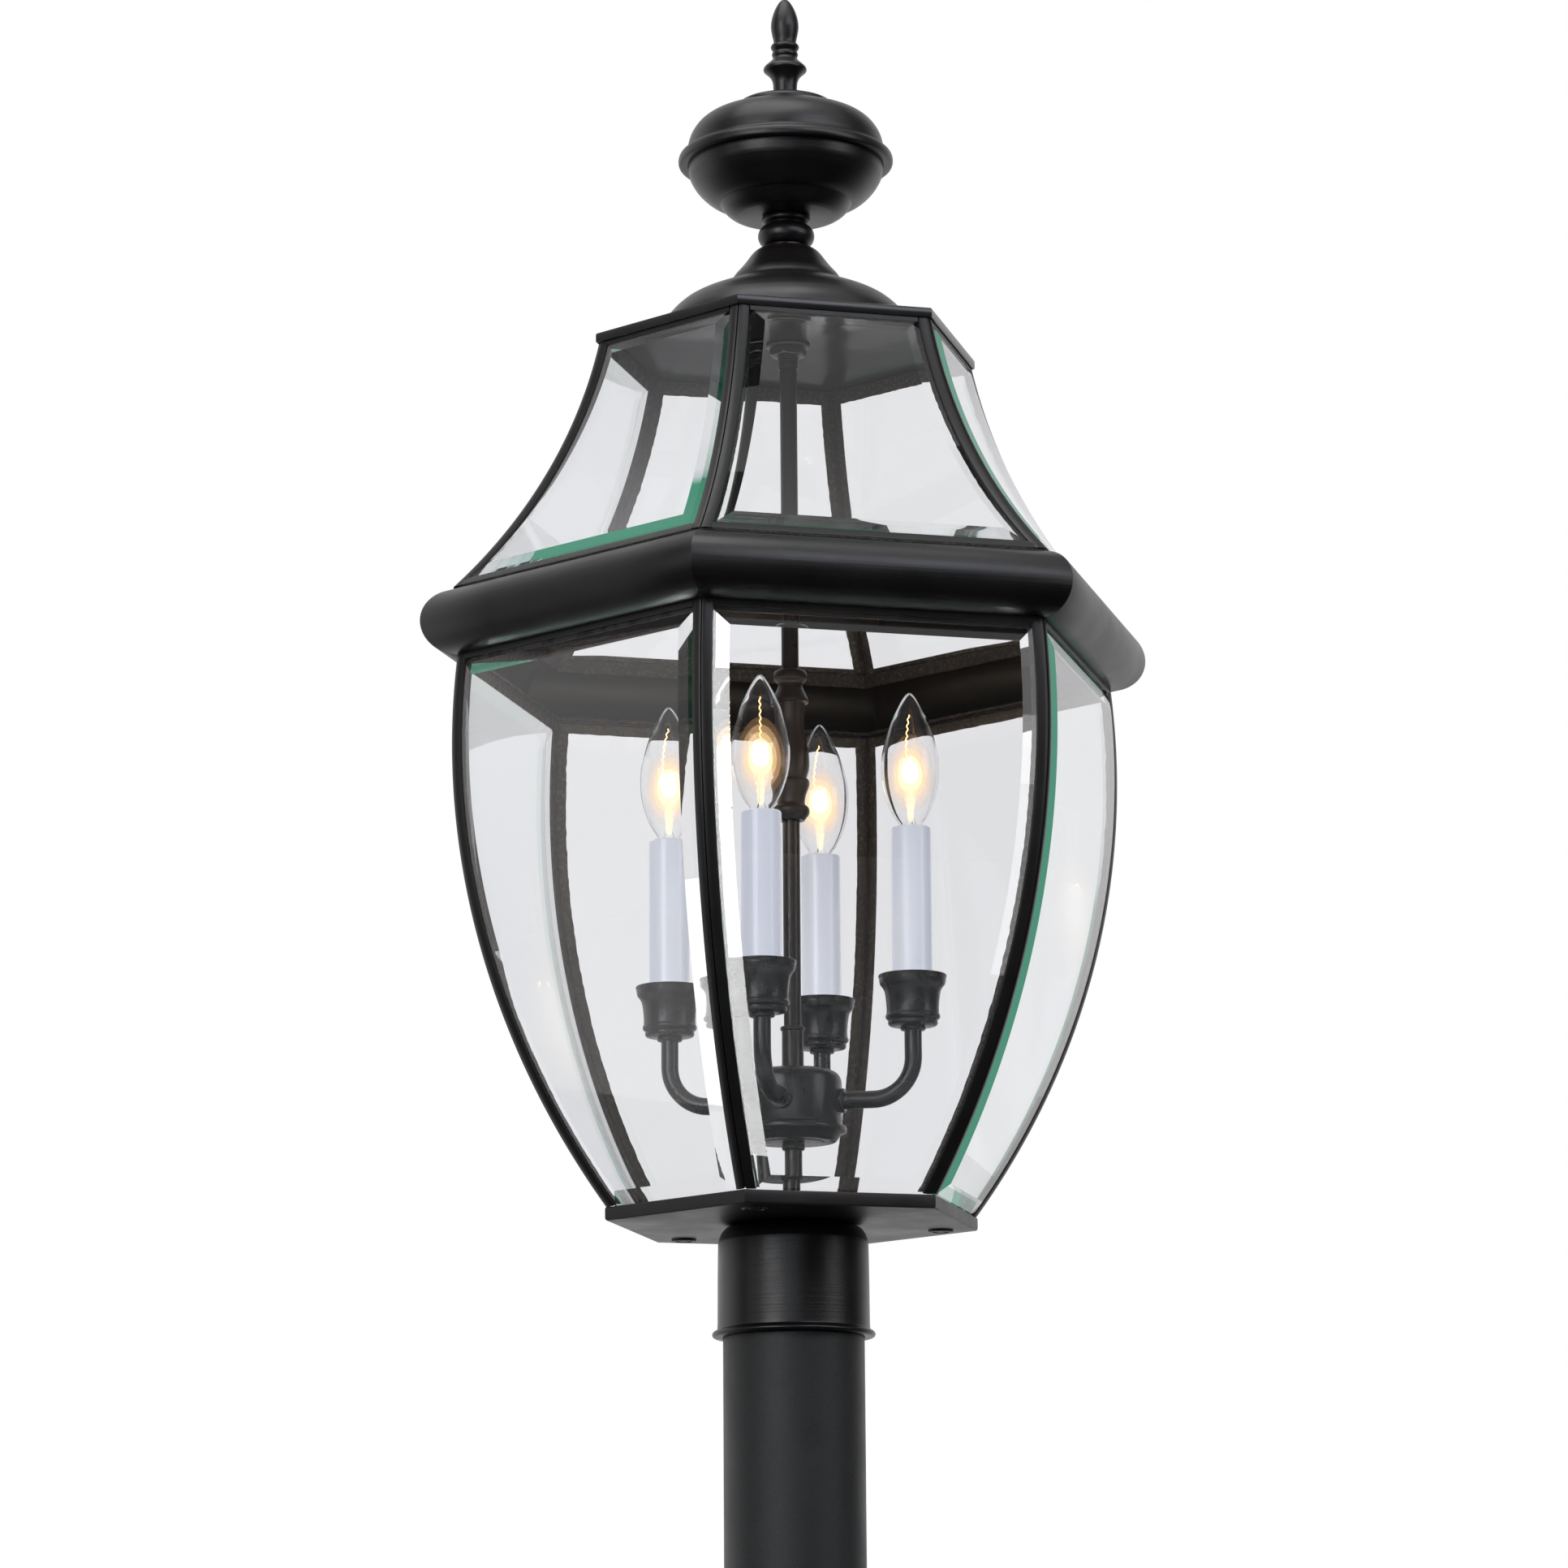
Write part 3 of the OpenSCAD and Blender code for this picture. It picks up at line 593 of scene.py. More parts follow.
def hex_pan(bm, section, hole):
    """Hexagonal dish with a round hole; the section runs from the outer face over the rim to the inner."""
    places = [(n, i / PER_SIDE) for n in range(1, SIDES + 1) for i in range(PER_SIDE)]
    rings = [[bm.verts.new(side_point(n, d * MM, (2 * f - 1) * d * MM * TAN_HALF, z)) for n, f in places]
             for d, z in section]
    first, last = [[bm.verts.new(side_point(n, hole * MM * math.cos(a), hole * MM * math.sin(a), z))
                    for n, a in [(n, math.radians(60 * f - 30)) for n, f in places]]
                   for z in (section[0][1], section[-1][1])]
    skin(bm, [first] + rings + [last, first])


def flat_of(node):
    """Distance in mm from the axis to a hexagonal node's flat."""
    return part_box(node)[1].x / MM * COS_HALF


flat, bottom, lip = flat_of("base_pan"), low("base_pan"), high("base_pan")
bm = bmesh.new()
hex_pan(bm, up(bottom, [(flat - 1.6, 0), (flat - 0.8, 0.15), (flat - 0.2, 0.7), (flat, 1.8)])
        + up(lip, [(flat, -1.2), (flat - 0.15, -0.4), (flat - 0.6, 0), (flat - 1.0, -0.1), (flat - 1.3, -0.5)])
        + up(bottom, [(flat - 1.4, 2.2), (flat - 2.2, 1.5)]), 4.9)
make("hex_base_pan", bm, PAN, "lantern", 34, ("base_pan",))

flat, bottom, plate_top = flat_of("top_plate"), low("top_plate"), high("top_plate")
bm = bmesh.new()
hex_pan(bm, up(plate_top, [(flat - 2.5, -1.2), (flat - 1.4, -1.6)])
        + up(bottom, [(flat - 1.2, 0.4), (flat - 0.7, 0), (flat - 0.25, 0.25), (flat, 0.9)])
        + up(plate_top, [(flat, -1.3), (flat - 0.4, -0.4), (flat - 1.4, 0)]), 5.35)
make("hex_top_plate", bm, PLATE, "roof", 34, ("top_plate",))

# ---------------------------------------------------------------- turned metalwork

z0, z1 = low("post"), high("post")
turned("post_tube", [(35.1, z0), (38.1, z0), (38.1, rim - 0.1 * MM), (37.9, rim + 0.1 * MM), (37.9, z1),
                     (35.1, z1)], POST, "lantern", ("post",), corners=(1, 2, 3, 4, 5), seg=160)

fitter = up(rim, [(38.4, 0), (42.0, 0.1), (43.3, 0.5), (43.9, 1.4), (43.85, 2.3), (43.1, 3.3), (42.0, 3.8),
                  (41.3, 4.4), (41.1, 5.6), (41.0, 8), (40.85, 30), (40.6, 49), (40.2, 52.5), (38.9, 56),
                  (36.6, 58.8), (33.2, 60.3)])
fitter += up(high("fitter"), [(31.5, 0), (5, 0), (5, -4), (38.4, -4)])
turned("post_fitter", fitter, BLACK, "lantern", ("fitter",),
       corners=(1, 9, 10, 16, 17, 18, 19), seg=160)

crown = [(71.2, 0), (71.6, 1.4), (70.6, 7.0), (68.4, 12.4), (64.6, 17.4), (61.0, 21.0), (57.2, 24.0),
         (51.5, 27.2), (45, 30.0), (38, 32.8), (33.4, 34.6), (31.4, 35.7), (30.9, 36.6), (30.3, 38.0),
         (28.6, 40.6), (25.6, 44.0), (22.9, 47.4), (20.6, 50.6), (18.5, 53.2), (15.8, 55.2), (12.6, 55.9)]
crown += [(5.4, 55.9), (5.4, 54.7), (12, 54.6), (29, 36), (69, 10), (70, 0)]
turned("spun_crown", up(low("crown"), crown), BLACK, "roof", ("crown",),
       corners=(1, 11, 13, 20, 21, 22, 23, 24, 25, 26), seg=128)

BEAD_R, BEAD_X, BEAD_Z = 6.75, 9, 7.6   # the bead's round, its centre's radius and height
bead = [(BEAD_X + BEAD_R * math.cos(a), BEAD_Z + BEAD_R * math.sin(a))
        for a in map(math.radians, (-66, -50, -32, -14, 0, 14, 32, 50, 66))]
ball = [(5.4, 0), (11.7, 0), (11.9, 0.5), (11.8, 1.1)] + bead
ball += [(11.6, 14.7), (12.6, 15.2), (13.4, 15.9), (13.6, 16.9), (13.4, 18.2), (12.8, 19), (5.4, 19)]
turned("turned_ball", up(low("ball_spacer"), ball), BLACK, "roof", ("ball_spacer",),
       corners=(1, 3, 4, 12, 13, 18, 19))

# The bowl's wall ends inside the rim of the shell
bowl = [(5.4, 0), (27.2, 0), (27.9, 0.2), (30.6, 1.2), (33.8, 3.6), (36.0, 6.6), (36.7, 7.7), (37.4, 8.0),
        (39.6, 8.6), (42.6, 10), (45.6, 12.2), (48.3, 14.8), (50.6, 17.6), (52.3, 20.4), (53.8, 23.6),
        (54.6, 28), (54.7, 30.5)]
bowl += [(53.4, 30.5), (53.2, 26), (50, 19), (42, 11.4), (36, 9), (30, 2.6), (27, 1.3), (5.4, 1.3)]
turned("canopy_lower_bowl", up(low("canopy_bowl"), bowl), BLACK, "roof", ("canopy_bowl",),
       corners=(1, 2, 6, 7, 16, 17, 24), seg=128)

dome = [(54.9, 0), (58.2, 0), (59.5, 0.5), (60.0, 1.6), (60.1, 2.9), (59.8, 4.4), (59.2, 5.5), (58.5, 6.0),
        (57.0, 6.3), (56.2, 6.9), (55.4, 7.6), (55.0, 8.8), (54.8, 10.8), (54.1, 14.4), (52.6, 18.2),
        (50.0, 22.2), (47.0, 25.2), (43.0, 27.8), (37.4, 30.0), (32, 31.6), (27, 32.8)]
dome += [(7.5, 32.8), (7.5, 31.7), (27, 31.5), (42, 26.6), (49.6, 20.6), (53.2, 12), (53.6, 7), (54.9, 1.4)]
turned("canopy_upper_shell", up(low("canopy_shell"), dome), BLACK, "roof", ("canopy_shell",),
       corners=(1, 7, 9, 11, 20, 21, 22, 27, 28), seg=128)

cap = [(5.4, 0), (26.4, 0), (26.9, 0.3), (27.0, 1.0), (26.8, 2.2), (25.8, 3.5), (23.2, 4.7), (19.0, 5.4),
       (12.0, 5.68), (5.4, 5.7)]
turned("canopy_disc", up(low("canopy_cap"), cap), BLACK, "roof", ("canopy_cap",),
       corners=(1, 9))

nz = low("finial")
finial = up(nz, [(4.4, 0), (6.4, 0), (6.7, 0.4), (6.6, 2), (6.75, 8.4), (7.3, 11.4), (8.5, 13.6), (10.3, 15.5),
                 (11.8, 16.8), (12.15, 18), (11.5, 19.4), (9.4, 21.4), (7.8, 22.9), (7.1, 23.8), (6.65, 24.9),
                 (7.15, 25.8), (7.35, 26.7), (7.1, 27.6), (6.55, 28.6), (7.5, 29.8), (7.95, 31.0), (7.5, 32.2),
                 (6.35, 33.1), (6.45, 35.0), (7.1, 38.0), (7.6, 40.8), (7.78, 43.2), (7.55, 46.2),
                 (6.9, 49.2), (5.9, 52.2), (4.6, 55.0), (3.1, 57.4), (1.5, 58.9)])
finial.append((0.0, high("finial")))
bm = bmesh.new()
lathe(bm, smooth_line([(r * MM, z) for r, z in finial], (1, 2, 14, 18, 22)))
# Its bore
lathe(bm, [(4.4 * MM, nz), (4.4 * MM, nz + 24 * MM), (0, nz + 24 * MM)])
bmesh.ops.remove_doubles(bm, verts=bm.verts, dist=TINY)
make("turned_finial", bm, BLACK, "finial", 30, ("finial",))

spindle = [(4.9, 0), (7.4, 0.1), (8.3, 1.5), (9.6, 3.2), (10.2, 5.2), (9.7, 7.2), (8.2, 8.5), (7.6, 10),
           (8.2, 14), (9.2, 17), (9.9, 18.9), (10.2, 20.8), (9.8, 22.5), (8.5, 23.6), (9.2, 25.5),
           (10.05, 29), (10.25, 33), (9.9, 38), (8.8, 44), (7.6, 51), (7.4, 57), (7.9, 63), (8.2, 65.4),
           (9.9, 65.9), (9.95, 67.6), (8.6, 70.6), (7.2, 73.6), (6.9, 76), (7.6, 77.4), (9.0, 78.8),
           (9.4, 80.6), (9.0, 82.6), (7.4, 84), (4.9, 84.4)]
turned("rod_spindle", up(low("spindle"), spindle), BRONZE, "lantern", ("spindle",),
       corners=(1, 6, 13, 22, 23, 24, 28, 33), seg=64)

# Rod, thinner where the finial's bush screws on
r0, r1 = low("centre_rod"), high("centre_rod")
ROD_R, ROD_END_R = 4.75 * MM, 4 * MM
bm = bmesh.new()
lathe(bm, [(0, r0), (ROD_R, r0), (ROD_R, nz - 1.2 * MM), (ROD_END_R, nz - 1.0 * MM), (ROD_END_R, r1), (0, r1)],
      seg=48)
make("lantern_rod", bm, BRONZE, "lantern", 30, ("centre_rod",))


def thread(bm, r, pitch, z0, z1, depth, bore, seg=40):
    """Threaded tube: the outer wall rises and falls in a helix."""
    rows = []
    steps = int((z1 - z0) / pitch * 8)
    for i in range(steps + 1):
        z = z0 + (z1 - z0) * i / steps
        row = []
        for k in range(seg):
            a = TURN * k / seg
            phase = ((z - z0) / pitch - a / TURN) % 1.0
            rr = r - depth * (1 - abs(2 * phase - 1))
            row.append(bm.verts.new((rr * math.cos(a), rr * math.sin(a), z)))
        rows.append(row)
    skin(bm, rows + [circle(bm, bore, z1, seg), circle(bm, bore, z0, seg), rows[0]])


bm = bmesh.new()
thread(bm, 6.1 * MM, 1.3 * MM, low("threaded_bush"), high("threaded_bush"), 0.6 * MM, 4.85 * MM)
make("bush_thread", bm, BRONZE, "lantern", 50, ("threaded_bush",))

z0, z1 = low("roof_washer"), high("roof_washer")
turned("rod_washer", up(z0, [(6.2, 0), (11.9, 0), (12.2, 0.3)]) + up(z1, [(12.2, -0.2), (11.9, 0), (6.2, 0)]),
       NICKEL, "lantern", ("roof_washer",), corners=(1, 2, 3, 4, 5), seg=64)

# Shares of a nut's flats by which its corners and the foot of its chamfer's cone stand out, the share of its
# height that the chamfer takes, and how much the end face is drawn in
NUT_CORNER, NUT_CONE, NUT_CHAMFER, NUT_EDGE = 0.1547, 0.155, 0.2, 0.3 * MM


def nut(bm, flats, z0, z1, bore, seg=72):
    """Hexagon nut, chamfered at both ends."""
    rows = []
    for f in (0.0, 0.06, 0.12, 0.2, 0.8, 0.88, 0.94, 1.0):
        end = min(f, 1 - f)
        corner = NUT_CORNER if end >= NUT_CHAMFER else NUT_CONE * end / NUT_CHAMFER
        cone = flats * (1.0 + corner) - (NUT_EDGE if end == 0 else 0)
        row = []
        for k in range(seg):
            a = TURN * k / seg
            r = min(flats / math.cos(a % (2 * HALF) - HALF), cone)
            row.append(bm.verts.new((r * math.cos(a), r * math.sin(a), z0 + (z1 - z0) * f)))
        rows.append(row)
    skin(bm, rows + [circle(bm, bore, z1, seg), circle(bm, bore, z0, seg), rows[0]])


bm = bmesh.new()
nut(bm, 9.2 * MM, low("roof_nut"), high("roof_nut"), 6.15 * MM)
make("rod_top_nut", bm, NICKEL, "lantern", 24, ("roof_nut",))
bm = bmesh.new()
nut(bm, 8.5 * MM, low("rod_nuts"), low("rod_nuts") + 5 * MM, 4.8 * MM)
nut(bm, 8.5 * MM, high("rod_nuts") - 4.5 * MM, high("rod_nuts"), 4.8 * MM)
make("rod_lower_nuts", bm, NICKEL, "lantern", 24, ("rod_nuts",))

# Hub
hub = [(22, 2), (25, 0.3), (26.2, 0.0), (26.5, 0.8), (26.5, 22.4), (26.1, 25), (24.8, 27.3), (22.6, 28.9),
       (19.6, 29.9), (17.5, 30), (4.9, 30), (4.9, 28), (22, 26)]
turned("cluster_hub", up(low("hub_body"), hub), HUB, "lantern", ("hub_body",),
       corners=(1, 3, 4, 9, 10, 11, 12), seg=128)
hub_cap = [(4.9, 0), (16.4, 0), (16.8, 0.05), (17.2, 0.3), (22.2, 0.4), (23.4, 0.9), (24.8, 2.6), (26.0, 4.4),
           (27.2, 5.0), (28.5, 5.4), (29.0, 6.4), (28.9, 7.8), (28.2, 8.8), (26.9, 9.3), (24.5, 9.3),
           (24.5, 13), (23, 13), (21, 3), (4.9, 3)]
turned("cluster_cap", up(low("hub_cap"), hub_cap), HUB, "lantern", ("hub_cap",),
       corners=(1, 4, 7, 13, 14, 15, 16, 17, 18), seg=128)
hub_ring = [(4.9, 0), (5.6, 0), (6.2, 0.7), (6.3, 2), (6.1, 3.4), (5.7, 4), (4.9, 4)]
turned("cluster_ring", up(low("hub_ring"), hub_ring), BRONZE, "lantern", ("hub_ring",),
       corners=(1, 5, 6), seg=48)
hub_sleeve = [(4.9, 0), (5.95, 0), (5.9, 21.4), (6.5, 21.9), (6.75, 22.8), (6.5, 23.7), (5.8, 24), (4.9, 24)]
turned("cluster_sleeve", up(low("hub_sleeve"), hub_sleeve), BRONZE, "lantern", ("hub_sleeve",),
       corners=(1, 2, 6, 7), seg=48)

# ---------------------------------------------------------------- arms and candles


def tube(bm, points, axes, r, seg):
    """Round bar through the points; axes gives the two directions of its section at each point."""
    angles = [TURN * q / seg for q in range(seg)]
    sweep(bm, [[p + a * r * math.cos(t) + b * r * math.sin(t) for t in angles]
               for p, (a, b) in zip(points, axes)])


centres = []
for i in range(1, 5):
    a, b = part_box("candle_sleeve_%d" % i)
    centres.append(((a.x + b.x) / 2, (a.y + b.y) / 2))
ARM_R, BEND_R, ARM_START = 4.7 * MM, 22 * MM, 23.5 * MM
BEND_STEPS = 20
BEND_FLATTEN = 0.05                     # share by which the tube flattens halfway round the bend
arm_z = (low("arm_collars") + high("arm_collars")) / 2
for i, (cx, cy) in enumerate(centres, 1):
    d = Vector((cx, cy, 0))
    reach, d = d.length, d.normalized()
    side, rise = Vector((-d.y, d.x, 0)), Vector((0, 0, 1))
    path = [(ARM_START + (reach - BEND_R - ARM_START) * k / 3, arm_z, 0.0) for k in range(4)]
    for k in range(1, BEND_STEPS + 1):
        a = math.pi / 2 * k / BEND_STEPS
        path.append((reach - BEND_R + BEND_R * math.sin(a), arm_z + BEND_R * (1 - math.cos(a)), a))
    path.append((reach, high("arm_%d" % i), math.pi / 2))
    axes = [(side, (rise * math.cos(a) - d * math.sin(a)) * (1 - BEND_FLATTEN * math.sin(2 * a) ** 2))
            for _, _, a in path]
    bm = bmesh.new()
    tube(bm, [d * x + rise * z for x, z, _ in path], axes, ARM_R, 32)
    make("bent_arm_%d" % i, bm, HUB, "lantern", 40, ("arm_%d" % i,))

# Collars where the arms enter the hub, turned about each arm
COLLAR = [(4.7, 26.2), (6.4, 25.6), (6.7, 27.2), (6.6, 28.4), (6.1, 29.0), (4.7, 29.1)]
bm = bmesh.new()
for cx, cy in centres:
    seen = len(bm.verts)
    lathe(bm, smooth_line([(r * MM, h * MM) for r, h in COLLAR], (1, 4, 5)), seg=40, closed=True)
    turn = Vector((cx, cy, 0)).to_track_quat("Z", "Y").to_matrix().to_4x4()
    bm.verts.ensure_lookup_table()
    bmesh.ops.transform(bm, matrix=Matrix.Translation((0, 0, arm_z)) @ turn, verts=bm.verts[seen:])
make("arm_end_collars", bm, HUB, "lantern", 30, ("arm_collars",))

cup_nut = [(4.7, 0), (6.0, 0), (6.7, 0.4), (6.9, 1.3), (6.7, 2.2), (6.2, 2.6), (4.7, 2.6)]
turned("cup_under_nuts", up(low("cup_nuts"), cup_nut), HUB, "lantern", ("cup_nuts",),
       corners=(1, 5, 6), centres=centres, seg=48)

CUP = [(4.75, 0), (12.4, 0), (13.1, 0.4), (13.5, 1.4), (13.4, 2.3), (13.1, 3.0), (13.9, 3.4), (14.7, 4.3),
       (14.8, 5.3), (14.4, 6.2), (14.2, 7.2), (14.2, 10), (14.45, 13.6), (14.9, 17), (15.4, 19.2), (16.4, 21.0),
       (17.5, 22.4), (18.0, 24.0), (18.15, 25.8), (18.5, 26.5), (18.55, 27.2), (18.2, 27.7), (15.2, 27.7),
       (14.4, 26.6), (13.6, 20), (11.3, 19), (11.3, 3), (4.75, 3)]
for i, c in enumerate(centres, 1):
    turned("turned_cup_%d" % i, up(low("candle_cup_%d" % i), CUP), HUB, "lantern",
           ("candle_cup_%d" % i,), corners=(1, 5, 9, 18, 21, 22, 24, 25, 26, 27), centres=(c,), seg=64)
    s0, s1 = low("candle_sleeve_%d" % i), high("candle_sleeve_%d" % i)
    sleeve = [(9.8, s0), (11.05, s0)]
    sleeve += up(s1, [(11.05, -1.4), (10.95, -0.7), (10.5, -0.1), (10.1, 0), (9.8, -0.4)])
    turned("candle_tube_%d" % i, sleeve, WHITE, "lantern", ("candle_sleeve_%d" % i,),
           corners=(1, 2, 6), centres=(c,), seg=64)

# ---------------------------------------------------------------- lamps

# Heights above the top of the sleeve
BULB_LINE = [(5.6, -7.2), (5.8, -2.5), (6.1, 1.0), (7.0, 3.0), (8.6, 5.2), (11.0, 9.6), (13.3, 15.6),
             (14.9, 21.4), (15.75, 27.4), (15.95, 32.6), (15.65, 38.8), (14.4, 45.2), (12.8, 51.2),
             (10.8, 57.2), (8.1, 63.2), (5.9, 67.6), (4.0, 71.0), (2.5, 73.2), (1.2, 74.5), (0.0, 74.9)]
GLASS_WALL = 0.55
STEM_LINE = [(0, 24.5), (1.5, 24), (2.0, 22.5), (1.6, 20), (1.5, 10), (2.4, 4), (4.6, -2), (5.0, -5)]
GLOW_HEIGHT = 33
SCREW_PITCH = 2.54 * MM


def wire(bm, pts, r, seg=8):
    """Thin wire through the points, its section carried along without twist."""
    axes = []
    for i in range(len(pts)):
        d = (pts[min(i + 1, len(pts) - 1)] - pts[max(i - 1, 0)]).normalized()
        a = (axes[-1][0] - d * axes[-1][0].dot(d)).normalized() if i else d.orthogonal().normalized()
        axes.append((a, d.cross(a)))
    tube(bm, pts, axes, r, seg)


def egg(radius, half_height, centre, steps=20):
    """Profile in mm of a veil of the glow: an ellipse, a little narrower above."""
    line = []
    for k in range(steps + 1):
        a = math.pi * k / steps - math.pi / 2
        r = radius * math.cos(a) * (1 - 0.12 * math.sin(a)) if 0 < k < steps else 0.0
        line.append((r, centre + half_height * math.sin(a)))
    return line


def lamp(i, c):
    """Clear candle lamp: envelope, glass stem, supports, filament, its glow and its screw shell."""
    body, top = "lamp_%d" % i, high("candle_sleeve_%d" % i)
    base, rise = Vector((c[0], c[1], top)), Vector((0, 0, 1))
    a = math.radians(35 * i)            # each lamp is screwed in to its own angle
    u, v = Vector((math.cos(a), math.sin(a), 0)), Vector((-math.sin(a), math.cos(a), 0))

    def at(x, y, z):
        """Point of the lamp in mm: along u, along v and above the sleeve."""
        return base + (u * x + v * y + rise * z) * MM

    def turn(bm, line, seg, n=None, mat=0):
        line = [(r * MM, h * MM) for r, h in line]
        line = smooth_line(line, (), n) if n else line
        lathe(bm, [(r, top + h) for r, h in line], c, seg, mat=mat)

    bm = bmesh.new()
    turn(bm, BULB_LINE, 72, 4)
    turn(bm, [(max(r - GLASS_WALL, 0), h + (0.3 if h < 60 else -0.6)) for r, h in BULB_LINE], 72, 4)
    bmesh.ops.bridge_loops(bm, edges=[e for e in bm.edges if e.is_boundary])
    envelope = make("lamp_envelope_%d" % i, bm, BULB, body, 30, ("bulb_%d" % i,))
    bm = bmesh.new()
    turn(bm, STEM_LINE, 32, 4)
    stem = make("lamp_stem_%d" % i, bm, BULB, body, 40)

    # Two leads, a short middle support and the tall coiled wire, all with a painted warm glow for the
    # filament's light on them
    bm = bmesh.new()
    for s in (1, -1):
        lead = [(1.2, 0, 17), (1.6, 0, 22), (3.2, 0.2, 25), (4.6, 0, 29), (5.2, 0, 33.5)]
        wire(bm, [at(s * x, y, z) for x, y, z in lead], 0.22 * MM)
    wire(bm, [at(0, y, z) for y, z in [(0, 22), (0.6, 28), (0.2, 36), (-0.5, 40)]], 0.16 * MM)
    tall, count, loops = [], 120, 11
    for k in range(count + 1):
        f = k / count
        coil, spread = TURN * loops * f, 0.4 * min(1, 3 * f)
        tall.append(at(0.6 + 2.6 * math.sin(2.6 * f) - 2.0 * f * f + spread * math.cos(coil),
                       1.0 + 1.6 * math.sin(3.0 * f) - 0.8 * f + spread * math.sin(coil), 23 + 40 * f))
    wire(bm, tall, 0.27 * MM)
    make("lamp_supports_%d" % i, bm, WIRE_GLOW, body, 40)

    bm = bmesh.new()
    pts, count, loops, coil_r = [], 160, 26, 0.3
    for k in range(count + 1):
        f = k / count
        a, coil = math.pi * f, TURN * loops * f
        pts.append(at(5.2 * math.cos(a) + coil_r * math.cos(coil), coil_r * math.sin(coil) - 0.8 * math.sin(a),
                      33.5 + 4.6 * math.sin(a) ** 0.8 + 1.2 * math.sin(3 * a)))
    wire(bm, pts, 0.12 * MM, 6)
    filament = make("lamp_filament_%d" % i, bm, FILAMENT, body, 60)

    bm = bmesh.new()
    for m, (_, size) in enumerate(VEILS):
        turn(bm, egg(*size), 32, mat=m)
    halo = make("lamp_glow_%d" % i, bm, GLOW, body, 60)
    halo.visible_diffuse = False
    halo.visible_glossy = False
    for o in (envelope, stem, filament, halo):
        o.visible_shadow = False

    light = bpy.data.lights.new("lamp_light_%d" % i, "POINT")
    light.energy = 0.20
    light.color = (1.0, 0.78, 0.52)
    light.shadow_soft_size = 5 * MM
    o = bpy.data.objects.new("lamp_light_%d" % i, light)
    o.location = at(0, 0, GLOW_HEIGHT)
    o.visible_camera = False
    o.visible_transmission = False
    bpy.context.scene.collection.objects.link(o)

    # Screw shell: its contact, its cone and a rolled thread
    b0, b1 = low("bulb_base_%d" % i), high("bulb_base_%d" % i)
    shell = up(b0, [(0.0, 0), (1.8, 0.2), (2.6, 1.4), (4.8, 3)])
    start, end, count = b0 + 4.5 * MM, b1 - 0.4 * MM, 60
    for k in range(count + 1):
        z = start + (end - start) * k / count
        shell.append((5.65 + 0.25 * math.cos(TURN * (z - b0) / SCREW_PITCH), z))
    shell.append((0.0, b1 - 0.2 * MM))
    turned("lamp_shell_%d" % i, shell, BRASS, "bulb_shell_%d" % i, ("bulb_base_%d" % i,),
           corners=(3, 4, 64), centres=(c,), seg=40, n=2, closed=False)


for i, c in enumerate(centres, 1):
    lamp(i, c)

# ---------------------------------------------------------------- fasteners and hidden parts

# Pan screws: (radius, height under the pan in mm, knurled or not), from the middle out
SCREW = ((0.0, -1.0, 0), (2.6, -1.0, 0), (3.0, -0.75, 0), (4.6, -0.7, 0), (5.0, -1.15, 0), (5.9, -1.15, 1),
         (6.6, -0.8, 1), (6.75, -0.2, 1), (6.75, 0.0, 1))
SCREW_CIRCLE, KNURL, SCREW_SEG = 83.5 * MM, 0.16, 72
bm = bmesh.new()
for angle in (0, 120, -120):
    cx, cy = SCREW_CIRCLE * math.cos(math.radians(angle)), SCREW_CIRCLE * math.sin(math.radians(angle))
    rows = []
    for r, h, knurled in SCREW:
        ring = []
        for q in range(SCREW_SEG if r else 1):
            t = TURN * q / SCREW_SEG
            rr = (r + KNURL * knurled * (1 if q % 3 == 0 else -0.5)) * MM
            ring.append(bm.verts.new((cx + rr * math.cos(t), cy + rr * math.sin(t), low("base_pan") + h * MM)))
        rows.append(ring)
    skin(bm, rows)
make("pan_screws", bm, PAN, "lantern", 24, ("cage_screws",))

CAD_LOOK = {"set_screws": NICKEL, "cage_bottom_frame": SOLDER, "lamp_sockets": CERAMIC, "finial_insert": BRASS}
for node, look in CAD_LOOK.items():
    o = frame["nodes"][node]
    o.data.materials.clear()
    o.data.materials.append(look)

# ---------------------------------------------------------------- stage, light and camera

scene = bpy.context.scene
floor_bm = bmesh.new()
bmesh.ops.create_grid(floor_bm, x_segments=24, y_segments=24, size=9)
me = bpy.data.meshes.new("studio_floor")
floor_bm.to_mesh(me)
floor_bm.free()
floor = bpy.data.objects.new("studio_floor", me)
floor.location = (0, 0, low("post") - 1.2)
me.materials.append(painted("floor_pale", (0.80, 0.80, 0.80), 0.85, 60, 0.05, spread=0.01))
scene.collection.objects.link(floor)
floor.visible_glossy = False

# The world is plain white, but in reflections it is a room: dark behind the camera, pale beyond the lantern
# and dark low down
world = bpy.data.worlds.new("studio")
scene.world = world
world.use_nodes = True
wn, wl = world.node_tree.nodes, world.node_tree.links
wn.clear()


def from_signed(source):
    """A direction's share, -1 to 1, as 0 to 1."""
    r = wn.new("ShaderNodeMapRange")
    r.inputs["From Min"].default_value = -1
    r.inputs["From Max"].default_value = 1
    wl.new(source, r.inputs["Value"])
    return r.outputs["Result"]


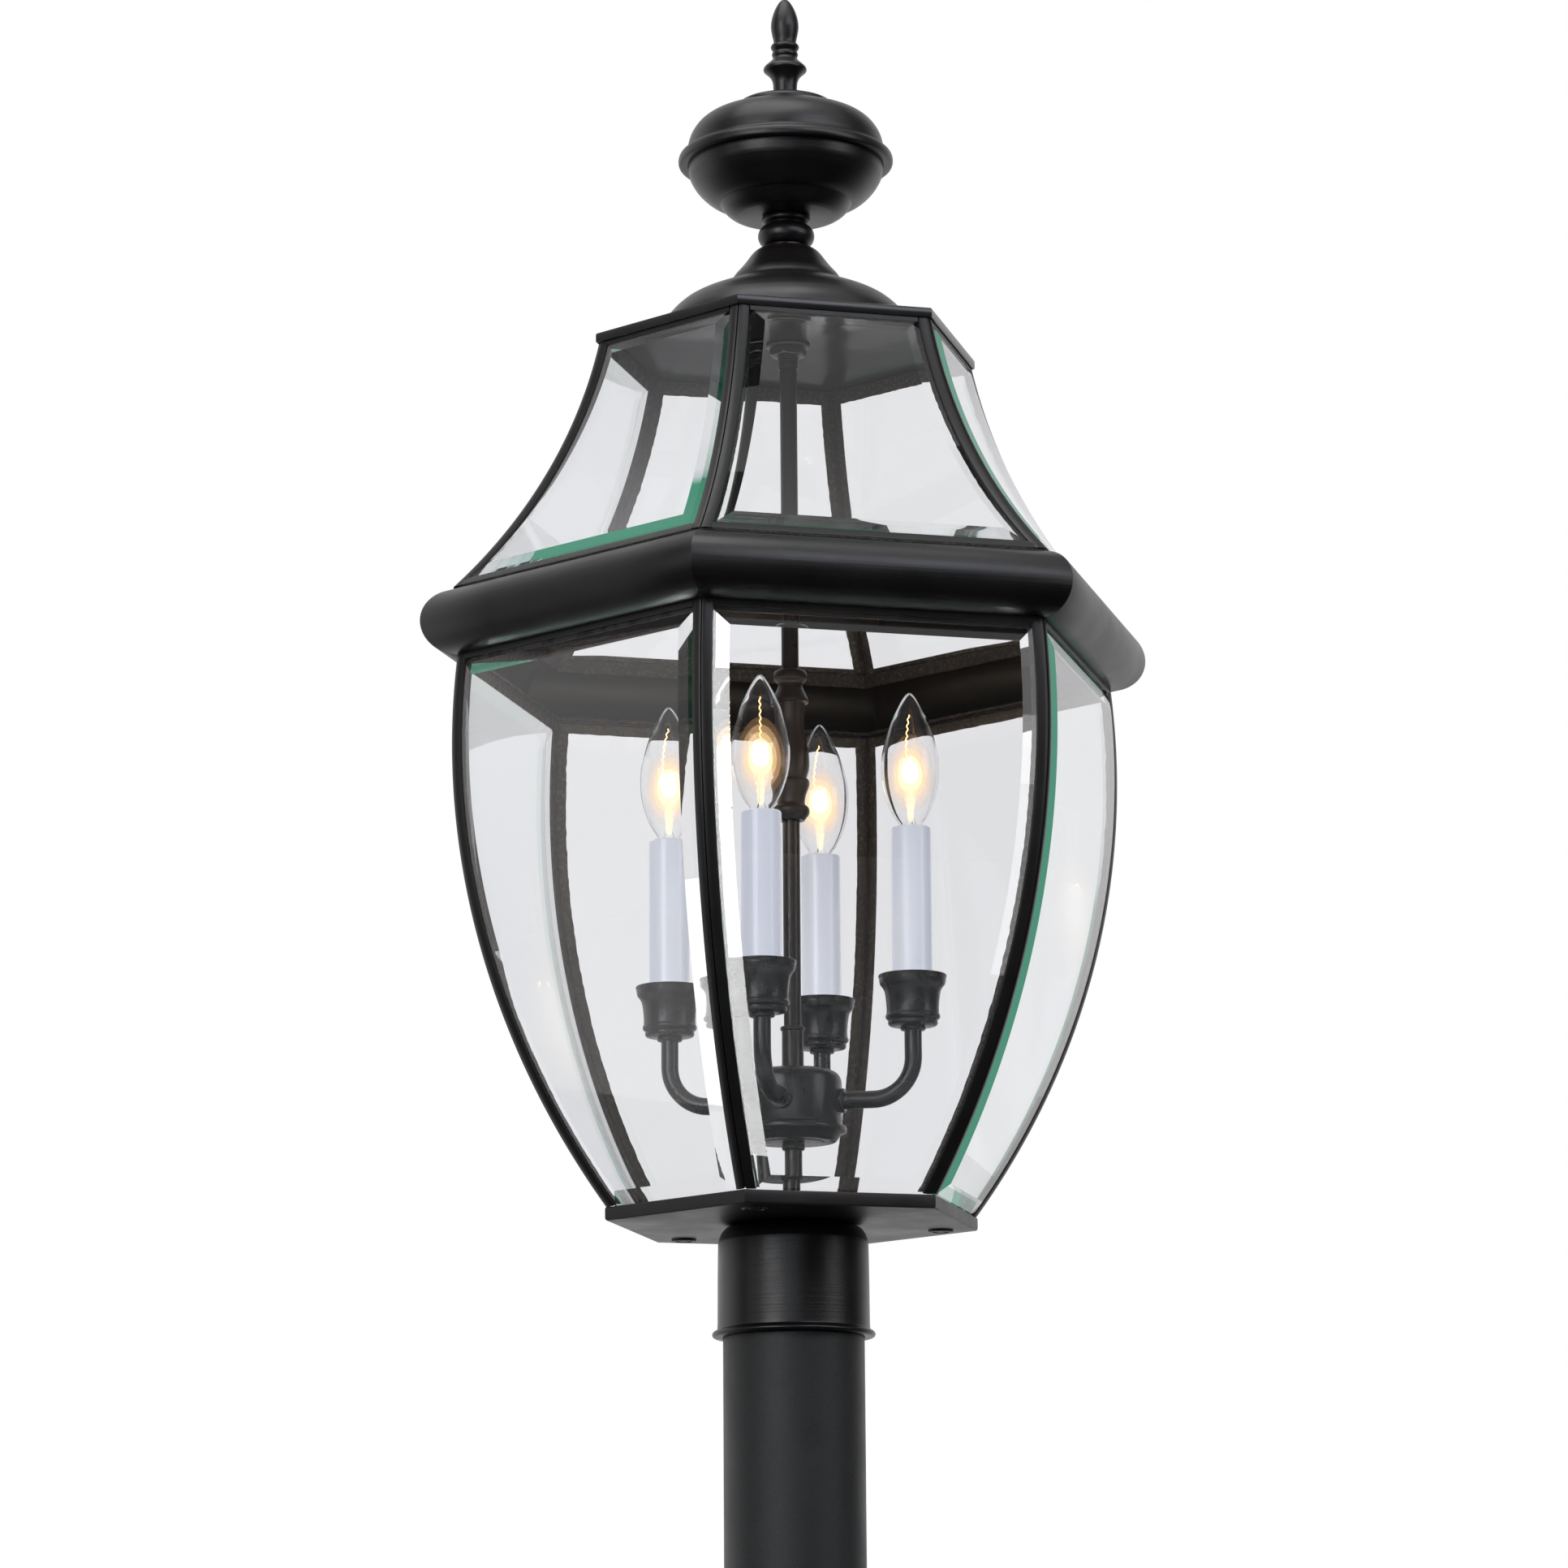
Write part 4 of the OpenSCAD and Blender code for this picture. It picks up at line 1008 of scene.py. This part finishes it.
coord = wn.new("ShaderNodeTexCoord")
sep = wn.new("ShaderNodeSeparateXYZ")
wl.new(coord.outputs["Generated"], sep.inputs["Vector"])
room = ramp(wn, wl, from_signed(sep.outputs["Y"]),
            [(0.35, (0.030, 0.029, 0.030, 1)), (0.57, (0.06, 0.06, 0.062, 1)), (0.78, (0.88, 0.86, 0.88, 1))])
height = ramp(wn, wl, from_signed(sep.outputs["Z"]),
              [(0.0, grey(0.12)), (0.20, grey(0.22)), (0.35, grey(1)), (0.60, grey(1)),
               (0.80, (0.85, 0.85, 0.86, 1))])
both = wn.new("ShaderNodeMix")
both.data_type = "RGBA"
both.blend_type = "MULTIPLY"
both.inputs["Factor"].default_value = 1.0
wl.new(room.outputs["Color"], both.inputs["A"])
wl.new(height.outputs["Color"], both.inputs["B"])
seen = wn.new("ShaderNodeBackground")
seen.inputs["Color"].default_value = (1, 1, 1, 1)
lit = wn.new("ShaderNodeBackground")
wl.new(both.outputs["Result"], lit.inputs["Color"])
path = wn.new("ShaderNodeLightPath")
mix = wn.new("ShaderNodeMixShader")
out = wn.new("ShaderNodeOutputWorld")
wl.new(path.outputs["Glossy Depth"], mix.inputs["Fac"])
wl.new(seen.outputs[0], mix.inputs[1])
wl.new(lit.outputs[0], mix.inputs[2])
wl.new(mix.outputs[0], out.inputs["Surface"])


def softbox(name, at, to, size, power, colour=(1, 1, 1)):
    """Rectangular light in metres and watts, aimed from one point to another."""
    light = bpy.data.lights.new(name, "AREA")
    light.shape = "RECTANGLE"
    light.size, light.size_y = size
    light.energy = power
    light.color = colour
    o = bpy.data.objects.new(name, light)
    o.location = at
    o.rotation_euler = (Vector(to) - Vector(at)).to_track_quat("-Z", "Y").to_euler()
    o.visible_camera = False
    scene.collection.objects.link(o)
    return o


def all_but(name, prefix):
    """Group for light linking that leaves out the objects whose names start with the prefix."""
    group = bpy.data.collections.new(name)
    for o in bpy.data.objects:
        if o.name.startswith(prefix):
            group.objects.link(o)
    for entry in group.collection_objects:
        entry.light_linking.link_state = "EXCLUDE"
    return group


# For the metal and the candles; these and the lamps' own lights stay out of the panes' reflections
MIDDLE = (0, 0, 0.48)
metal_lights = [
    softbox("side", (-2.6, -0.4, 0.9), MIDDLE, (0.6, 2.0), 3),
    softbox("top", (-0.8, -0.6, 3.3), MIDDLE, (2.6, 2.6), 56),
    softbox("front", (0.8, -2.6, 2.2), MIDDLE, (2.2, 1.1), 26, (0.84, 0.88, 1.0)),
]
metal_lights += [o for o in bpy.data.objects if o.name.startswith("lamp_light_")]
not_panes = all_but("not_panes", "bevelled_")
for light in metal_lights:
    light.light_linking.receiver_collection = not_panes

# For everything but the roof's panes
not_roof_panes = all_but("not_roof_panes", "bevelled_roof")
for light in (softbox("key", (-2.25, -1.9, 1.35), (0, 0, 0.5), (1.4, 1.8), 31),
              softbox("fill", (2.2, -1.95, 1.3), (0, 0, 0.5), (1.2, 1.7), 15),
              softbox("low", (-1.5, -2.6, 0.50), (0, 0, 0.4), (2.4, 0.8), 9, (0.86, 0.92, 1.0))):
    light.light_linking.receiver_collection = not_roof_panes
haze = softbox("roof_haze", (0.8, -1.0, 3.2), (0, 0, 0.7), (2.6, 2.6), 18)
haze.visible_transmission = False

# Tall strips, each picked up by the bevels of one pane only: (name, side, direction, from and to height in
# metres, radiance)
FRONT, LEFT = 1, 6
FRONT_WAY = (-0.232, -0.956)
STRIPS = (("front_low", FRONT, FRONT_WAY, (-5.0, -0.4), 14),
          ("front_high", FRONT, FRONT_WAY, (-0.4, 3.4), 14),
          ("front_right", FRONT, (0.690, -0.696), (-1.0, 1.0), 3),
          ("left_low", LEFT, (-0.949, -0.249), (-5.0, -0.35), 9),
          ("left_wide", LEFT, (-0.970, 0.242), (-4.0, 3.0), 0.8))
STRIP_AWAY, STRIP_WIDE = 3.2, 0.75
for name, side, (dx, dy), (z0, z1), radiance in STRIPS:
    middle, tall = (z0 + z1) / 2, z1 - z0
    strip = softbox("strip_" + name, (dx * STRIP_AWAY, dy * STRIP_AWAY, middle), (0, 0, middle),
                    (STRIP_WIDE, tall), radiance * math.pi * STRIP_WIDE * tall)
    only = bpy.data.collections.new("only_" + name)
    only.objects.link(bpy.data.objects["bevelled_body_pane_%d" % side])
    strip.light_linking.receiver_collection = only
    strip.light_linking.blocker_collection = only
    strip.visible_transmission = False

# Camera: it looks a little up, and is rolled a touch
cam = bpy.data.cameras.new("camera")
cam.sensor_width = 36
cam.lens = 130.5287
cam.clip_end = 100
co = bpy.data.objects.new("camera", cam)
scene.collection.objects.link(co)
CAMERA_AT = (-0.84242, -2.93514, rim - 0.3117)
AIM = Vector((0.26942, 0.94254, 0.19758)).normalized()
yaw, roll = math.radians(-15.953), math.radians(-0.388)
right = Vector((math.cos(yaw), math.sin(yaw), 0))
right = (right - AIM * right.dot(AIM)).normalized()
above = right.cross(AIM)
axes = (right * math.cos(roll) + above * math.sin(roll), above * math.cos(roll) - right * math.sin(roll), -AIM)
co.matrix_world = Matrix.Translation(CAMERA_AT) @ Matrix(axes).transposed().to_4x4()
scene.camera = co

# Long paths, since light runs far inside the bevelled glass
scene.view_settings.view_transform = "Standard"
scene.cycles.caustics_refractive = False
scene.cycles.caustics_reflective = False
scene.cycles.max_bounces = 28
scene.cycles.transmission_bounces = 24
scene.cycles.transparent_max_bounces = 40
scene.cycles.glossy_bounces = 24
